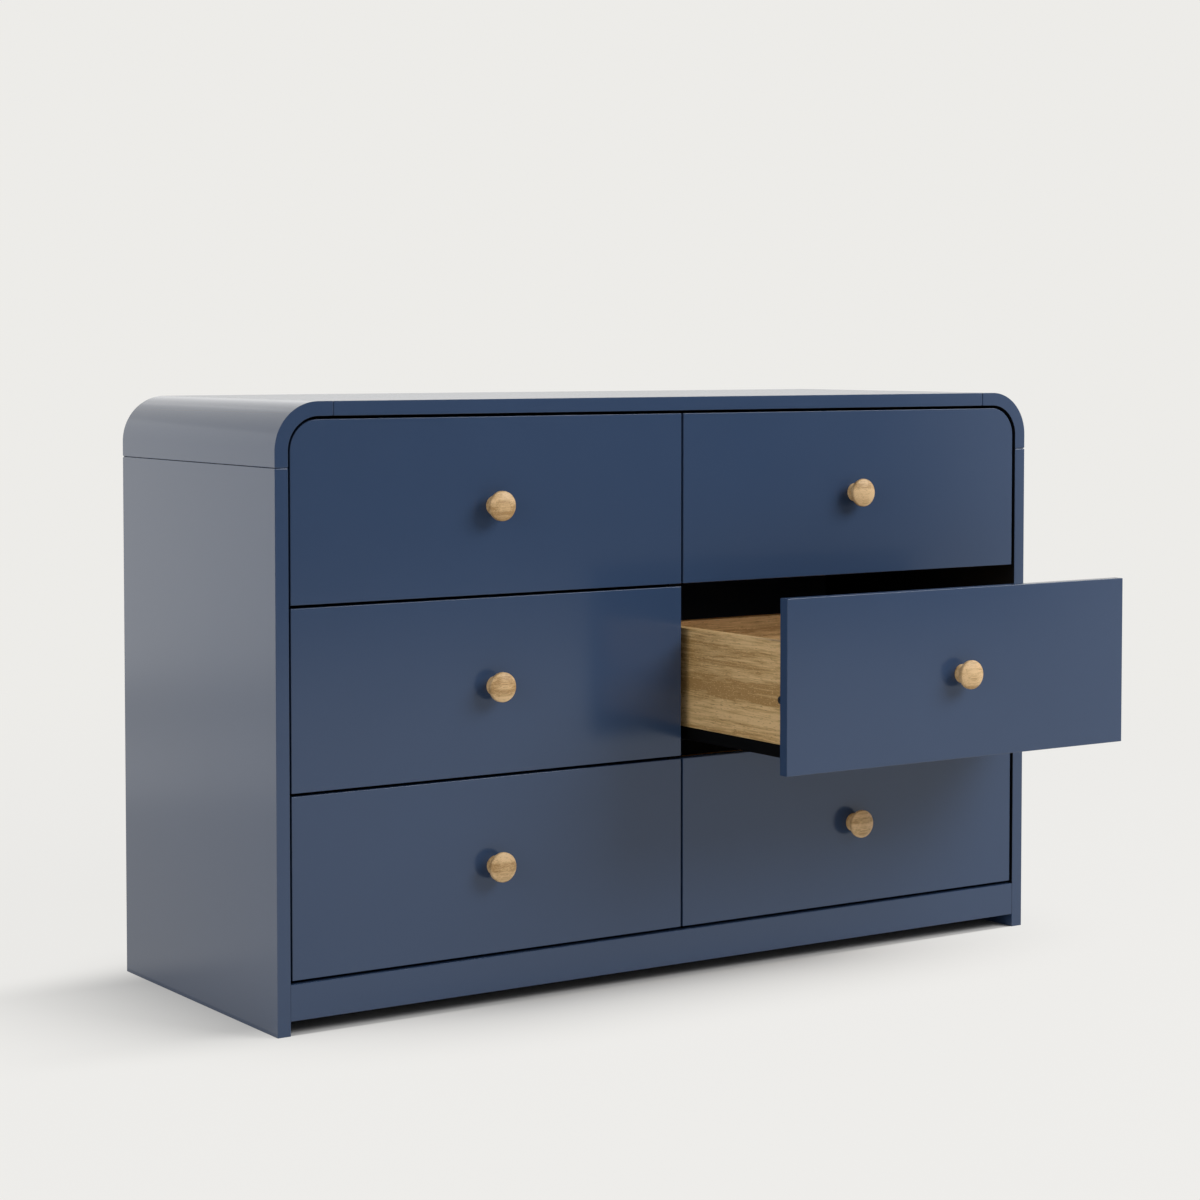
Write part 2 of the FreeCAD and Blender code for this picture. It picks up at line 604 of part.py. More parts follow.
def make_drawer(row, column):
    """One drawer with its knob, box, fittings and runners. Returns its case runners."""
    drawer = Drawer(row, column)
    key = drawer.key
    fittings, holes = make_fittings(drawer)

    base_z = f"{drawer.box_z} + base_lift"
    inside_x = f"{drawer.box_x} + box_wall"
    inside_width = "box_width - 2 * box_wall"
    groove = box(key + "Groove", (f"{inside_x} - groove_depth", f"{inside_width} + 2 * groove_depth"),
                 (f"{drawer.box_y} - groove_depth", "groove_depth + box_length"),
                 (f"{base_z} - groove_play", "base_thickness + 2 * groove_play"))

    rounds = {column: "inner_radius - side_gap"} if row == ROWS[-1] else {}
    board = slab(key + "FrontSlab", "front_width", "front_height", "front_thickness", rounds,
                 "front_edge_round")
    place(board, drawer.front_x, drawer.face_y, drawer.front_z)
    keep(cut(key + "Front", board, [groove] + holes["front"]), f"{drawer.name}_drawer_front")
    keep(cut(key + "Knob", make_knob(drawer), holes["knob"]), f"{drawer.name}_knob")

    sides = []
    for wall in drawer.walls:
        side = box(key + wall.name + "SideBoard", wall.span("box_clearance", "box_wall"),
                   (drawer.box_y, "box_length"), (drawer.box_z, "box_height"))
        sides.append(cut(key + wall.name + "Side", side, [groove] + holes["sides"]))
    keep(group(key + "Sides", sides), f"{drawer.name}_drawer_sides")

    back = box(key + "BackBoard", (inside_x, inside_width),
               (f"{drawer.box_y} + box_length - box_wall", "box_wall"),
               (f"{base_z} + base_thickness", "box_height - base_lift - base_thickness - back_drop"))
    keep(cut(key + "Back", back, holes["back"]), f"{drawer.name}_drawer_back")

    base_reach = "groove_depth - groove_play"
    keep(box(key + "Base", (f"{inside_x} - ({base_reach})", f"{inside_width} + 2 * ({base_reach})"),
             (f"{drawer.box_y} - ({base_reach})", f"{base_reach} + box_length"),
             (base_z, "base_thickness")), f"{drawer.name}_drawer_bottom")

    keep(group(key + "Fittings", fittings), f"{drawer.name}_fittings")
    keep(group(key + "Runners", [make_drawer_runner(drawer, wall) for wall in drawer.walls]),
         f"{drawer.name}_runners")
    keep(group(key + "SlideBars", [make_slide_bar(drawer, wall) for wall in drawer.walls]),
         f"{drawer.name}_slide_bars")
    return [make_case_runner(drawer, wall) for wall in drawer.walls]


def check_document():
    """Stop at any object that failed and any sub-part without a sound shape."""
    for item in doc.Objects:
        if {"Invalid", "Error"} & set(item.State):
            raise RuntimeError(f"{item.Name} failed: {item.State}")
    for item in sub_parts:
        if item.Shape.isNull() or not item.Shape.isValid() or not item.Shape.Solids:
            raise RuntimeError(f"{item.Label} has no sound shape")


make_case()
case_runners = []
for row_name in ROWS:
    for column_name in COLUMNS:
        case_runners += make_drawer(row_name, column_name)
keep(group("CaseRunners", case_runners), "case_runners")
doc.recompute()
check_document()

os.makedirs("parts", exist_ok=True)
for item in sub_parts:
    item.Shape.exportStep(f"parts/{item.Label}.step")
    bounds = item.Shape.BoundBox
    print(f"{item.Label}: {len(item.Shape.Solids)} solids, "
          f"{bounds.XLength:.1f} x {bounds.YLength:.1f} x {bounds.ZLength:.1f} mm")
print(f"{len(sub_parts)} sub-parts")
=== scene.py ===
# %% [markdown]
# # A six-drawer chest in satin blue paint
# The CAD model of the chest is the fixed frame of this lesson. Every board, knob and runner has
# its place there, in metres, with the floor at z = 0 and the drawer fronts facing -Y. Nothing in
# the frame is moved. We dress it: boards get eased edges, knobs are turned, screws get their
# crosses, and every surface gets a finish made from nodes.

import math

import bmesh
import bpy
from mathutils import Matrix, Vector


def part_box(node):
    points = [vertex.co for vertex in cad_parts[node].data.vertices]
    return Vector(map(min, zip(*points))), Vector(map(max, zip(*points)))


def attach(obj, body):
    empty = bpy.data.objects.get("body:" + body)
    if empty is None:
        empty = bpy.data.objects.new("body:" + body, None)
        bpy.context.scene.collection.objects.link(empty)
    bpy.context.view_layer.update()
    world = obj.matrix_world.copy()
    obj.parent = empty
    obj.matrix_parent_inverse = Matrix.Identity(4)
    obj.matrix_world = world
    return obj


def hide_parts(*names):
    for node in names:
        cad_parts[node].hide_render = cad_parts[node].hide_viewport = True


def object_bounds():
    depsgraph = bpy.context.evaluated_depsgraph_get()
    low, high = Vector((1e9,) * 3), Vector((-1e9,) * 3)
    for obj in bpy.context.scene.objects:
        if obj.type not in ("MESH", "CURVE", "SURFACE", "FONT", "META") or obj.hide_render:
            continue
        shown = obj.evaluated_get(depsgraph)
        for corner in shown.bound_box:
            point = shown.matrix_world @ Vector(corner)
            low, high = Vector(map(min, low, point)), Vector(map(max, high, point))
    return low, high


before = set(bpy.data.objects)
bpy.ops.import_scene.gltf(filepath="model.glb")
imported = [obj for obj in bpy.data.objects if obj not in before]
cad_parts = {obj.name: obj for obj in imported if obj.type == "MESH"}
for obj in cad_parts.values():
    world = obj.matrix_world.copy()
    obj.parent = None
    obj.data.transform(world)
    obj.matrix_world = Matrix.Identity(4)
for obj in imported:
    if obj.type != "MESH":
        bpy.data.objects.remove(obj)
cad_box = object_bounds()

# %% [markdown]
# ## The camera
# The photograph looks at the left corner of the chest from a little above its top, through a long
# lens. Upright edges stay nearly upright in it, as they do when a photographer shifts the lens
# down instead of tilting the camera. Part of that is a real shift here, and the rest is a small
# tilt, because a large shift would push the chest out of the frame when we walk round it.

# %% Camera
CAMERA_PLACE = (-2.13324, -3.22057, 0.83557)
CAMERA_YAW = math.radians(33.703)      # turned from +Y towards +X
CAMERA_TILT = math.radians(2.728)      # below the horizon
LENS_MM, SENSOR_MM = 83.97, 36
LENS_SHIFT = -0.10                     # in frame widths

bpy.ops.object.select_all(action="DESELECT")
bpy.ops.object.camera_add(location=CAMERA_PLACE,
                          rotation=(math.pi / 2 - CAMERA_TILT, 0, -CAMERA_YAW))
camera = bpy.context.object
camera.data.sensor_width = SENSOR_MM
camera.data.lens = LENS_MM
camera.data.shift_y = LENS_SHIFT
bpy.context.scene.camera = camera
bpy.context.scene.view_settings.view_transform = "Standard"
print("camera:", LENS_MM, "mm lens at", CAMERA_PLACE)

# %% [markdown]
# ## Sums of sockets
# A finish is a tree of nodes, and most of those nodes are small sums. Wiring them one by one is
# hard to read, so a socket is wrapped in a class that knows the operators: `1 - pores * 0.5` adds
# two Math nodes and returns the last one's output.

# %% Sockets
class Socket:
    """One output of a node. Arithmetic on it adds Math nodes to its tree."""

    def __init__(self, tree, output):
        self.tree = tree
        self.output = output

    def __add__(self, other):
        return self.tree.maths("ADD", self, other)

    def __sub__(self, other):
        return self.tree.maths("SUBTRACT", self, other)

    def __rsub__(self, other):
        return self.tree.maths("SUBTRACT", other, self)

    def __mul__(self, other):
        return self.tree.maths("MULTIPLY", self, other)

    __radd__ = __add__
    __rmul__ = __mul__

    def sibling(self, name):
        """Another output of the same node."""
        return Socket(self.tree, self.output.node.outputs[name])


print("sockets: sums, differences and products")

# %% [markdown]
# ## Node trees
# Every other node comes from one method. It sets the node's own settings first, because some of
# them decide which sockets a node has, and then the values or links of those sockets. The world
# and the materials both use it.

# %% Node trees
MIX_FACTOR, MIX_FIRST, MIX_SECOND, MIX_COLOUR = 0, 6, 7, 2    # a Mix node's colour sockets


class NodeTree:
    """The nodes of a finish or of the world."""

    def __init__(self, owner):
        owner.use_nodes = True
        self.owner = owner
        self.nodes = owner.node_tree.nodes
        self.links = owner.node_tree.links
        self.nodes.clear()

    def node(self, kind, settings=None, sockets=None, output=0):
        """Add a node, set it up and return one of its outputs."""
        made = self.nodes.new("ShaderNode" + kind)
        for name, value in (settings or {}).items():
            if name == "stops":
                self.set_stops(made.color_ramp.elements, value)
            else:
                setattr(made, name, value)
        for name, value in (sockets or {}).items():
            if isinstance(value, Socket):
                self.links.new(value.output, made.inputs[name])
            else:
                made.inputs[name].default_value = value
        return Socket(self, made.outputs[output]) if made.outputs else None

    def set_stops(self, elements, stops):
        """Give a colour ramp its stops, each a position and a colour."""
        while len(elements) < len(stops):
            elements.new(1)
        for element, (position, shade) in zip(elements, stops):
            element.position = position
            element.color = shade

    def maths(self, operation, first, second):
        """One Math node."""
        return self.node("Math", {"operation": operation}, {0: first, 1: second})

    def mix(self, first, second, share):
        """One colour fading into another."""
        sockets = {MIX_FACTOR: share, MIX_FIRST: first, MIX_SECOND: second}
        return self.node("Mix", {"data_type": "RGBA"}, sockets, MIX_COLOUR)

    def seen(self):
        """1 for what the camera sees, straight or in a reflection or through glass."""
        camera_ray = self.node("LightPath", output="Is Camera Ray")
        mirrored = camera_ray.sibling("Is Glossy Ray")
        return camera_ray + mirrored + camera_ray.sibling("Is Transmission Ray")


print("node trees: one method for every node")

# %% [markdown]
# ## A pale studio
# The world has two faces. Surfaces are lit by an even, dim light. The camera, reflections and glass
# see a pale background instead, which puts no extra light on the chest. The two are told apart by
# the Light Path node, which knows what kind of ray is asking.

# %% World
def colour(red, green, blue):
    """A colour in linear light, with full alpha."""
    return (red, green, blue, 1.0)


AMBIENT = 0.255
BACKDROP = colour(0.847, 0.838, 0.812)

studio = bpy.data.worlds.new("pale_studio")
bpy.context.scene.world = studio
room = NodeTree(studio)
even_light = room.node("Background", sockets={"Color": colour(1, 1, 1), "Strength": AMBIENT})
backdrop = room.node("Background", sockets={"Color": BACKDROP})
both = room.node("MixShader", sockets={0: room.seen(), 1: even_light, 2: backdrop})
room.node("OutputWorld", sockets={"Surface": both})
print("world: even light of", AMBIENT)

# %% [markdown]
# ## Softboxes
# Shadows fall to the left and are soft, so the key light is a broad softbox to the right of the
# front. A weaker one at the left lights the drawer boxes. Satin paint would show that one as a
# white patch on the top, so reflections don't see it. A softbox is set by how bright its face
# looks, which stays the same when its size changes, and its power follows.

# %% Softboxes
CHEST_MIDDLE = (0, 0, 0.5)
KEY_PLACE, LEFT_PLACE = (2.57, -2.96, 2.85), (-3.6, -1.1, 1.4)
SOFTBOX_WIDTH, SOFTBOX_HEIGHT = 3.0, 2.0


def add_softbox(name, place, aim, width, height, radiance):
    """A rectangular lamp that the camera doesn't see."""
    way = Vector(place) - Vector(aim)
    bpy.ops.object.select_all(action="DESELECT")
    bpy.ops.object.light_add(type="AREA", location=place,
                             rotation=way.to_track_quat("Z", "Y").to_euler())
    softbox = bpy.context.object
    softbox.name = name
    softbox.data.shape = "RECTANGLE"
    softbox.data.size, softbox.data.size_y = width, height
    softbox.data.energy = radiance * math.pi * width * height
    softbox.visible_camera = False
    print("lamp:", name, round(softbox.data.energy, 1), "watts")
    return softbox


add_softbox("key_softbox", KEY_PLACE, CHEST_MIDDLE, SOFTBOX_WIDTH, SOFTBOX_HEIGHT, radiance=7.9)
left_softbox = add_softbox("left_softbox", LEFT_PLACE, CHEST_MIDDLE, SOFTBOX_WIDTH, SOFTBOX_HEIGHT,
                           radiance=1.9)
left_softbox.visible_glossy = False

# %% [markdown]
# ## Screens
# Gloss is only as good as what it mirrors. These screens are seen by reflections alone and put no
# light on matt surfaces. Three stand or lie at the left and give the left side its grey sheen,
# one stands behind for the top, and one at the far right brightens the right end of the fronts.

# %% Screens
LEFT_SIDE_MIDDLE = (-0.6, 0, 0.55)
LYING_PLACE, LYING_AIM = (-2.103, 0.8, 0.003), (-2.103, 0.8, 1.0)
SCREENS = {       # place, aim, width, height and radiance
    "left_screen": ((-1.5, 2.8, 1.25), LEFT_SIDE_MIDDLE, 2.9, 2.5, 0.50),
    "low_left_screen": ((-1.25, 1.35, 0.62), LEFT_SIDE_MIDDLE, 1.3, 1.2, 0.28),
    "lying_screen": (LYING_PLACE, LYING_AIM, 3.0, 3.0, 0.20),
    "rear_screen": ((1.7, 3.5, 2.1), CHEST_MIDDLE, 3.6, 1.8, 0.55),
    "right_screen": ((4.4, -2.9, 1.0), CHEST_MIDDLE, 2.6, 2.0, 0.69),
}

for name, setting in SCREENS.items():
    add_softbox(name, *setting).visible_diffuse = False
print("screens:", len(SCREENS))

# %% [markdown]
# ## Finishes
# A finish is a material whose pattern is worked out from the object's own coordinates. They are
# metres here, so a noise of scale 5 has about five features to the metre on every piece. A band
# cuts a soft-edged mask out of a noise, and a bump lifts the surface's normal by it.

# %% Finishes
class Finish(NodeTree):
    """A procedural material on the object's own coordinates."""

    def __init__(self, name):
        super().__init__(bpy.data.materials.new(name))
        self.place = self.node("TexCoord", output="Object")

    def noise(self, scale, detail=2.0, roughness=0.5, stretch=(1, 1, 1), distortion=0.0):
        """Cloudy noise, with so many features to the metre along each axis."""
        spread = self.node("Mapping", sockets={"Vector": self.place, "Scale": stretch})
        return self.node("TexNoise", sockets={
            "Vector": spread, "Scale": scale, "Detail": detail, "Roughness": roughness,
            "Distortion": distortion})

    def band(self, value, low, high):
        """0 below low, 1 above high and smooth between."""
        settings = {"interpolation_type": "SMOOTHSTEP"}
        return self.node("MapRange", settings, {"Value": value, "From Min": low, "From Max": high})

    def bump(self, height, distance):
        """A normal raised by a height of 0 to 1 times a distance in metres."""
        return self.node("Bump", sockets={"Height": height, "Distance": distance})

    def surface(self, sockets):
        """The Principled shader and the material's output."""
        shader = self.node("BsdfPrincipled", sockets=sockets)
        self.node("OutputMaterial", sockets={"Surface": shader})
        print("finish:", self.owner.name, len(self.nodes), "nodes")
        return self.owner


def tinted(base, share):
    """The same colour, lighter or darker."""
    return colour(*(channel * share for channel in base[:3]))


print("finishes: noise, bands and bumps")

# %% [markdown]
# ## Floor
# The floor is matt and takes the chest's shadow, but under plain light it would look grey. So most
# of what the camera sees of it is an even pale glow. Near the chest the glow is a little brighter, a
# painted pool of light, and far from the chest it takes the background's own colour, so that no
# horizon shows. In two places, drawn as soft rectangles, the glow gives way to the lit floor and its
# real shadow, which adds a painted shade there: in front of the plinth, and along the left side,
# where the key light's shadow falls. Right under the chest there is no glow at all.

# %% Floor paint
FLOOR_COLOUR = colour(0.720, 0.711, 0.693)
# the glow near the chest, brighter than the background: a painted pool of light
PAINTED_NEAR_FLOOR_LIGHT = colour(0.892, 0.883, 0.860)
FLOOR_PATCHES, FLOOR_SPREAD = 1.5, 0.005    # patches to the metre, and their share of the tone
MATT = {"Roughness": 0.9, "Specular IOR Level": 0.0}
OPEN_GLOW = 0.90                            # share of the glow away from the chest
ORIGIN = (0, 0, 0)
# places of painted shade, where the glow fades out towards a rectangle and the darker lit floor
# shows
PAINTED_SHADES = [                                  # the middle, half size and reach of a shaded place
    ((-0.03, -0.03, 0), (0.20, 0.17, 0), (0.60, 0.28, 1)),           # in front of the plinth
    ((-0.263, -0.002, 0), (0.20, 0.142, 0), (0.56, 0.15, 1)),        # along the left side
]
FADE_START, FADE_END = 1.0, 3.0             # metres from the chest
FOOT_EDGE = 0.004
FOOT_HALF = (cad_box[1].x - FOOT_EDGE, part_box("left_side")[1].y - FOOT_EDGE, 0)


def beyond(paint, centre, half, reach=(1, 1, 1)):
    """How far a place on the floor lies outside a rectangle, in metres or in reaches."""
    outside = paint.place
    for operation, other in (("SUBTRACT", centre), ("ABSOLUTE", ORIGIN), ("SUBTRACT", half),
                             ("MAXIMUM", ORIGIN), ("DIVIDE", reach)):
        outside = paint.node("VectorMath", {"operation": operation}, {0: outside, 1: other})
    return paint.node("VectorMath", {"operation": "LENGTH"}, {0: outside}, output="Value")


def floor_paint():
    """Matt and pale, with a glow that gives way to painted shade and the real shadow of the chest.
    """
    paint = Finish("pale_floor")
    shade = paint.mix(tinted(FLOOR_COLOUR, 1 - FLOOR_SPREAD), tinted(FLOOR_COLOUR, 1 + FLOOR_SPREAD),
                      paint.noise(FLOOR_PATCHES, detail=3))
    lit = paint.node("BsdfPrincipled", sockets={"Base Color": shade, **MATT})
    from_foot = beyond(paint, ORIGIN, FOOT_HALF)
    far = paint.band(from_foot, FADE_START, FADE_END)
    glow = paint.node("Emission", sockets={"Color": paint.mix(PAINTED_NEAR_FLOOR_LIGHT, BACKDROP, far)})
    share = OPEN_GLOW + (1 - OPEN_GLOW) * far
    # painted shade: each rectangle dims the glow near it
    for centre, half, reach in PAINTED_SHADES:
        painted_shade = 1 - paint.node("MapRange", sockets={"Value": beyond(paint, centre, half, reach)})
        share = share * (1 - painted_shade * painted_shade)
    share = share * paint.band(from_foot, 0, FOOT_EDGE)
    ground = paint.node("MixShader", sockets={0: share * paint.seen(), 1: lit, 2: glow})
    paint.node("OutputMaterial", sockets={"Surface": ground})
    print("finish:", paint.owner.name, len(paint.nodes), "nodes")
    return paint.owner


pale_floor = floor_paint()

# %% [markdown]
# ## Floor and dark card in place
# Both are planes at their true size. The fronts mirror the end of the studio behind the camera,
# which is dark: a card stands there for it, seen by reflections alone, so that it throws no shadow.

# %% Floor and card
FLOOR_MIDDLE, FLOOR_WIDTH, FLOOR_LENGTH = (1, 10.9, 0), 34, 30.2
CARD_MIDDLE, CARD_WIDTH, CARD_HEIGHT = (3.5, -4.2, 2.5), 17, 5
CARD_COLOUR = colour(0.16, 0.16, 0.17)
UPRIGHT = (math.pi / 2, 0, 0)


def settle(name):
    """Put a new primitive's place, turn and size into its mesh, and name it."""
    bpy.ops.object.transform_apply(location=True, rotation=True, scale=True)
    piece = bpy.context.object
    piece.name = name
    return piece


def add_plane(name, middle, width, length, turn=(0, 0, 0)):
    """A flat rectangle, with its place in its mesh."""
    bpy.ops.object.select_all(action="DESELECT")
    bpy.ops.mesh.primitive_plane_add(size=1, location=middle, rotation=turn)
    bpy.context.object.scale = (width, length, 1)
    return settle(name)


floor = add_plane("floor", FLOOR_MIDDLE, FLOOR_WIDTH, FLOOR_LENGTH)
card = add_plane("dark_card", CARD_MIDDLE, CARD_WIDTH, CARD_HEIGHT, UPRIGHT)
dark_card = Finish("dark_card").surface({"Base Color": CARD_COLOUR, **MATT})
for sheet, finish in ((floor, pale_floor), (card, dark_card)):
    sheet.data.materials.append(finish)
card.visible_camera = False
card.visible_diffuse = False
card.visible_transmission = False
card.visible_shadow = False
print("stage:", floor.name, "and", card.name)

# %% [markdown]
# ## Satin blue paint
# The case and the drawer fronts are sprayed board. Close up, sprayed paint is never a flat colour:
# the coat is a touch thicker here and there, and its skin has a fine orange peel. A slow noise
# shifts the tone by a few percent, a second one the gloss, and a fine one lifts the normal by a
# few thousandths of a millimetre. The inside of the case and the back get duller coats of it; the
# inside one is near black, a painted shade for the dark inside of the case and its gaps.

# %% Paint
PAINT_BLUE = colour(0.0350, 0.0645, 0.1330)
CASE_INSIDE_SHADE = colour(0.004, 0.005, 0.007)
BACK_BLUE = colour(0.042, 0.060, 0.095)
COAT_PATCHES, GLOSS_PATCHES, PEEL_BUMPS = 5, 11, 620    # to the metre
COAT_SPREAD = 0.05                                      # share of the tone
PEEL_HEIGHT = 0.000006
PAINT_IOR = 1.5


def spray_paint(name, base, smoothest, roughest, specular=0.5):
    """Sprayed paint with an uneven tone and an orange-peel skin."""
    paint = Finish(name)
    tone = paint.noise(COAT_PATCHES, detail=3)
    coat = paint.mix(tinted(base, 1 - COAT_SPREAD), tinted(base, 1 + COAT_SPREAD), tone)
    rough = smoothest + (roughest - smoothest) * paint.noise(GLOSS_PATCHES, detail=4)
    peel = paint.bump(paint.noise(PEEL_BUMPS, detail=1), PEEL_HEIGHT)
    return paint.surface({"Base Color": coat, "Roughness": rough, "IOR": PAINT_IOR,
                          "Specular IOR Level": specular, "Normal": peel})


satin_blue = spray_paint("satin_blue_paint", PAINT_BLUE, smoothest=0.16, roughest=0.20)
# near black: painted shade for the dark inside of the case and the gaps round the fronts
inside_painted_shade = spray_paint("dark_case_paint", CASE_INSIDE_SHADE, smoothest=0.55, roughest=0.70, specular=0.2)
back_blue = spray_paint("matt_blue_back", BACK_BLUE, smoothest=0.50, roughest=0.62)

# %% [markdown]
# ## Blocks and edit mode
# Every board starts as a cube at the size and place of its node in the frame, and is shaped in edit
# mode. Operators act on all that is selected, so each helper first selects the one piece it is for.

# %% Blocks and edit mode
def select_only(piece):
    """Make a piece the only one that operators act on."""
    bpy.ops.object.select_all(action="DESELECT")
    piece.select_set(True)
    bpy.context.view_layer.objects.active = piece


def add_block(name, low, high):
    """A block between two corners, with its place in its mesh."""
    low, high = Vector(low), Vector(high)
    bpy.ops.object.select_all(action="DESELECT")
    bpy.ops.mesh.primitive_cube_add(size=1, location=(low + high) / 2, scale=high - low)
    return settle(name)


def edit(piece):
    """Enter edit mode on a piece with all of it selected."""
    select_only(piece)
    bpy.ops.object.mode_set(mode="EDIT")
    bpy.ops.mesh.select_mode(type="FACE")
    bpy.ops.mesh.select_all(action="SELECT")


def leave_edit():
    """Go back to object mode."""
    bpy.ops.object.mode_set(mode="OBJECT")


print("tools: blocks")

# %% [markdown]
# ## Picking, cutting and pulling
# By hand we would click on a face or an edge. In code we say which one we mean by where it is or
# which way it looks, and then cut it or pull it out.

# %% Picking, cutting and pulling
def pick_faces(piece, wanted):
    """In edit mode, select the faces whose middle and normal pass a test."""
    bpy.ops.mesh.select_mode(type="FACE")
    bpy.ops.mesh.select_all(action="DESELECT")
    shape = bmesh.from_edit_mesh(piece.data)
    for face in shape.faces:
        face.select_set(bool(wanted(face.calc_center_median(), face.normal)))
    bmesh.update_edit_mesh(piece.data)


def pick_edges(piece, wanted):
    """In edit mode, select the edges whose middle and direction pass a test."""
    bpy.ops.mesh.select_mode(type="EDGE")
    bpy.ops.mesh.select_all(action="DESELECT")
    shape = bmesh.from_edit_mesh(piece.data)
    for edge in shape.edges:
        start, end = (vertex.co for vertex in edge.verts)
        edge.select_set(bool(wanted((start + end) / 2, (end - start).normalized())))
    bmesh.update_edit_mesh(piece.data)


def cut_across(place, normal):
    """In edit mode, cut all of the piece along a plane."""
    bpy.ops.mesh.select_all(action="SELECT")
    bpy.ops.mesh.bisect(plane_co=place, plane_no=normal)


def extrude(x=0.0, y=0.0, z=0.0):
    """In edit mode, pull the selection out by an offset."""
    bpy.ops.mesh.extrude_region_move(TRANSFORM_OT_translate={"value": (x, y, z)})


print("tools: picking, cutting and pulling")

# %% [markdown]
# ## Eased edges
# A real board has no edge of zero width, and it is the small rounds that catch the light. A bevel
# modifier eases what is left sharp, and weighted normals keep the broad faces flat beside those
# small rounds. Flat faces that the cuts divided are merged first, so that no cut gets a bevel.

# %% Eased edges
FLAT_ANGLE = math.radians(0.5)     # faces that differ by less are one face
SHARP_ANGLE = math.radians(35)     # edges that turn by more get a round
SMOOTH_ANGLE = math.radians(40)    # edges that turn by less are shaded smooth


def apply_modifier(piece, kind, settings):
    """Add a modifier, set it up and apply it."""
    select_only(piece)
    modifier = piece.modifiers.new(kind.title(), kind)
    for name, value in settings.items():
        setattr(modifier, name, value)
    bpy.ops.object.modifier_apply(modifier=modifier.name)


def flatten_shading(piece):
    """Smooth shading over gentle edges, led by the broad faces."""
    select_only(piece)
    bpy.ops.object.shade_smooth_by_angle(angle=SMOOTH_ANGLE)
    apply_modifier(piece, "WEIGHTED_NORMAL", {"keep_sharp": True})


def ease_edges(piece, width, segments=2):
    """Round every sharp edge a little and keep broad faces flat."""
    edit(piece)
    bpy.ops.mesh.dissolve_limited(angle_limit=FLAT_ANGLE, delimit={"NORMAL", "MATERIAL"})
    leave_edit()
    apply_modifier(piece, "BEVEL", {"width": width, "segments": segments,
                                    "limit_method": "ANGLE", "angle_limit": SHARP_ANGLE})
    flatten_shading(piece)


print("tools: edges over", round(math.degrees(SHARP_ANGLE)), "degrees get a round")

# %% [markdown]
# ## Copies and dressing
# What repeats is modelled once and copied, each copy with its own mesh. A mirrored copy is turned
# inside out by the mirror, so its normals are worked out again. A finished piece is then dressed:
# it gets its finish and its material slot, rides on its body, and hides the CAD nodes that it
# stands for. Copies come before dressing, because a copy would keep what its original stands for.

# %% Copies and dressing
def face_outwards():
    """In edit mode, turn every face of the piece outwards."""
    bpy.ops.mesh.select_all(action="SELECT")
    bpy.ops.mesh.normals_make_consistent(inside=False)


def copy_piece(piece, name, move=ORIGIN, mirror=False):
    """A copy with its own mesh, moved or mirrored across the middle of the chest."""
    select_only(piece)
    bpy.ops.object.duplicate(linked=False)
    twin = bpy.context.object
    edit(twin)
    if mirror:
        bpy.ops.transform.resize(value=(-1, 1, 1), center_override=ORIGIN)
        face_outwards()
    bpy.ops.transform.translate(value=move)
    leave_edit()
    twin.name = name
    return twin


def dress(piece, finish, slot, body, *nodes):
    """Give a piece its finish, and let it ride on its body for the nodes it stands for. The slot is
    not used.
    """
    piece.data.materials.append(finish)
    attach(piece, body)
    if nodes:
        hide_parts(*nodes)
    print("piece:", piece.name, len(piece.data.polygons), "faces on", body)


print("tools: copies and dressing")

# %% [markdown]
# ## Side panels
# A side is a plain board that stands on the floor, with a rebate along its rear edge for the thin
# back panel. We could cut the rebate out with a boolean. It is simpler to start with a shorter
# board and pull its outer strip back past the rebate. Its upper edges are rounded a little more
# than the rest, so that the joint to the corner shows as a fine line. Faces that look into the
# case are marked for the near-black finish, a painted shade for the dark inside of the case, and
# the other side is a mirrored copy.

# %% Joints and inner faces
JOINT_EASE, JOINT_SEGMENTS = 0.0016, 2
INWARD_LEAN, FRONT_LEAN = 0.25, 0.3    # shares of a normal: inwards at least, to the front at most


def ease_joint(piece, wanted):
    """Round the edges of a joint between boards, so that it shows as a fine line."""
    edit(piece)
    pick_edges(piece, wanted)
    bpy.ops.mesh.bevel(offset=JOINT_EASE, segments=JOINT_SEGMENTS, affect="EDGES")
    leave_edit()


def mark_shaded_inside(piece):
    """Mark the faces of a case board that look into the case, for the near-black painted shade."""
    inside_low, inside_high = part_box("back_panel")
    middle_z = (inside_low.z + inside_high.z) / 2
    for face in piece.data.polygons:
        inward = Vector((-face.center.x, 0, middle_z - face.center.z)).normalized()
        faces_in = face.normal.dot(inward) > INWARD_LEAN and abs(face.normal.y) < FRONT_LEAN
        if faces_in and face.center.z > inside_low.z:
            face.material_index = 1


print("joints: a round of", JOINT_EASE * 1000, "mm")

# %% Sides
EDGE_EASE = 0.0009
REBATE_PLAY = 0.0003
SAME = 1e-5          # two places closer than this, in metres, are one
FACING = 0.9         # share of a unit way along an axis, for what looks or runs along it

back_low, back_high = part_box("back_panel")
rebate_x = back_high.x + REBATE_PLAY
rebate_top = back_high.z + REBATE_PLAY
rebate_depth = back_high.y - back_low.y


def model_side():
    """The left side, from its node's box."""
    low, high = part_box("left_side")
    side = add_block("left_side_board", low, (high.x, back_low.y, high.z))
    edit(side)
    cut_across((-rebate_x, 0, 0), (1, 0, 0))
    cut_across((0, 0, back_low.z), (0, 0, 1))
    pick_faces(side, lambda middle, normal: normal.y > FACING
               and (middle.x < -rebate_x or middle.z < back_low.z))
    extrude(y=rebate_depth)
    leave_edit()
    ease_joint(side, lambda middle, way: middle.z > high.z - SAME)
    mark_shaded_inside(side)
    return side


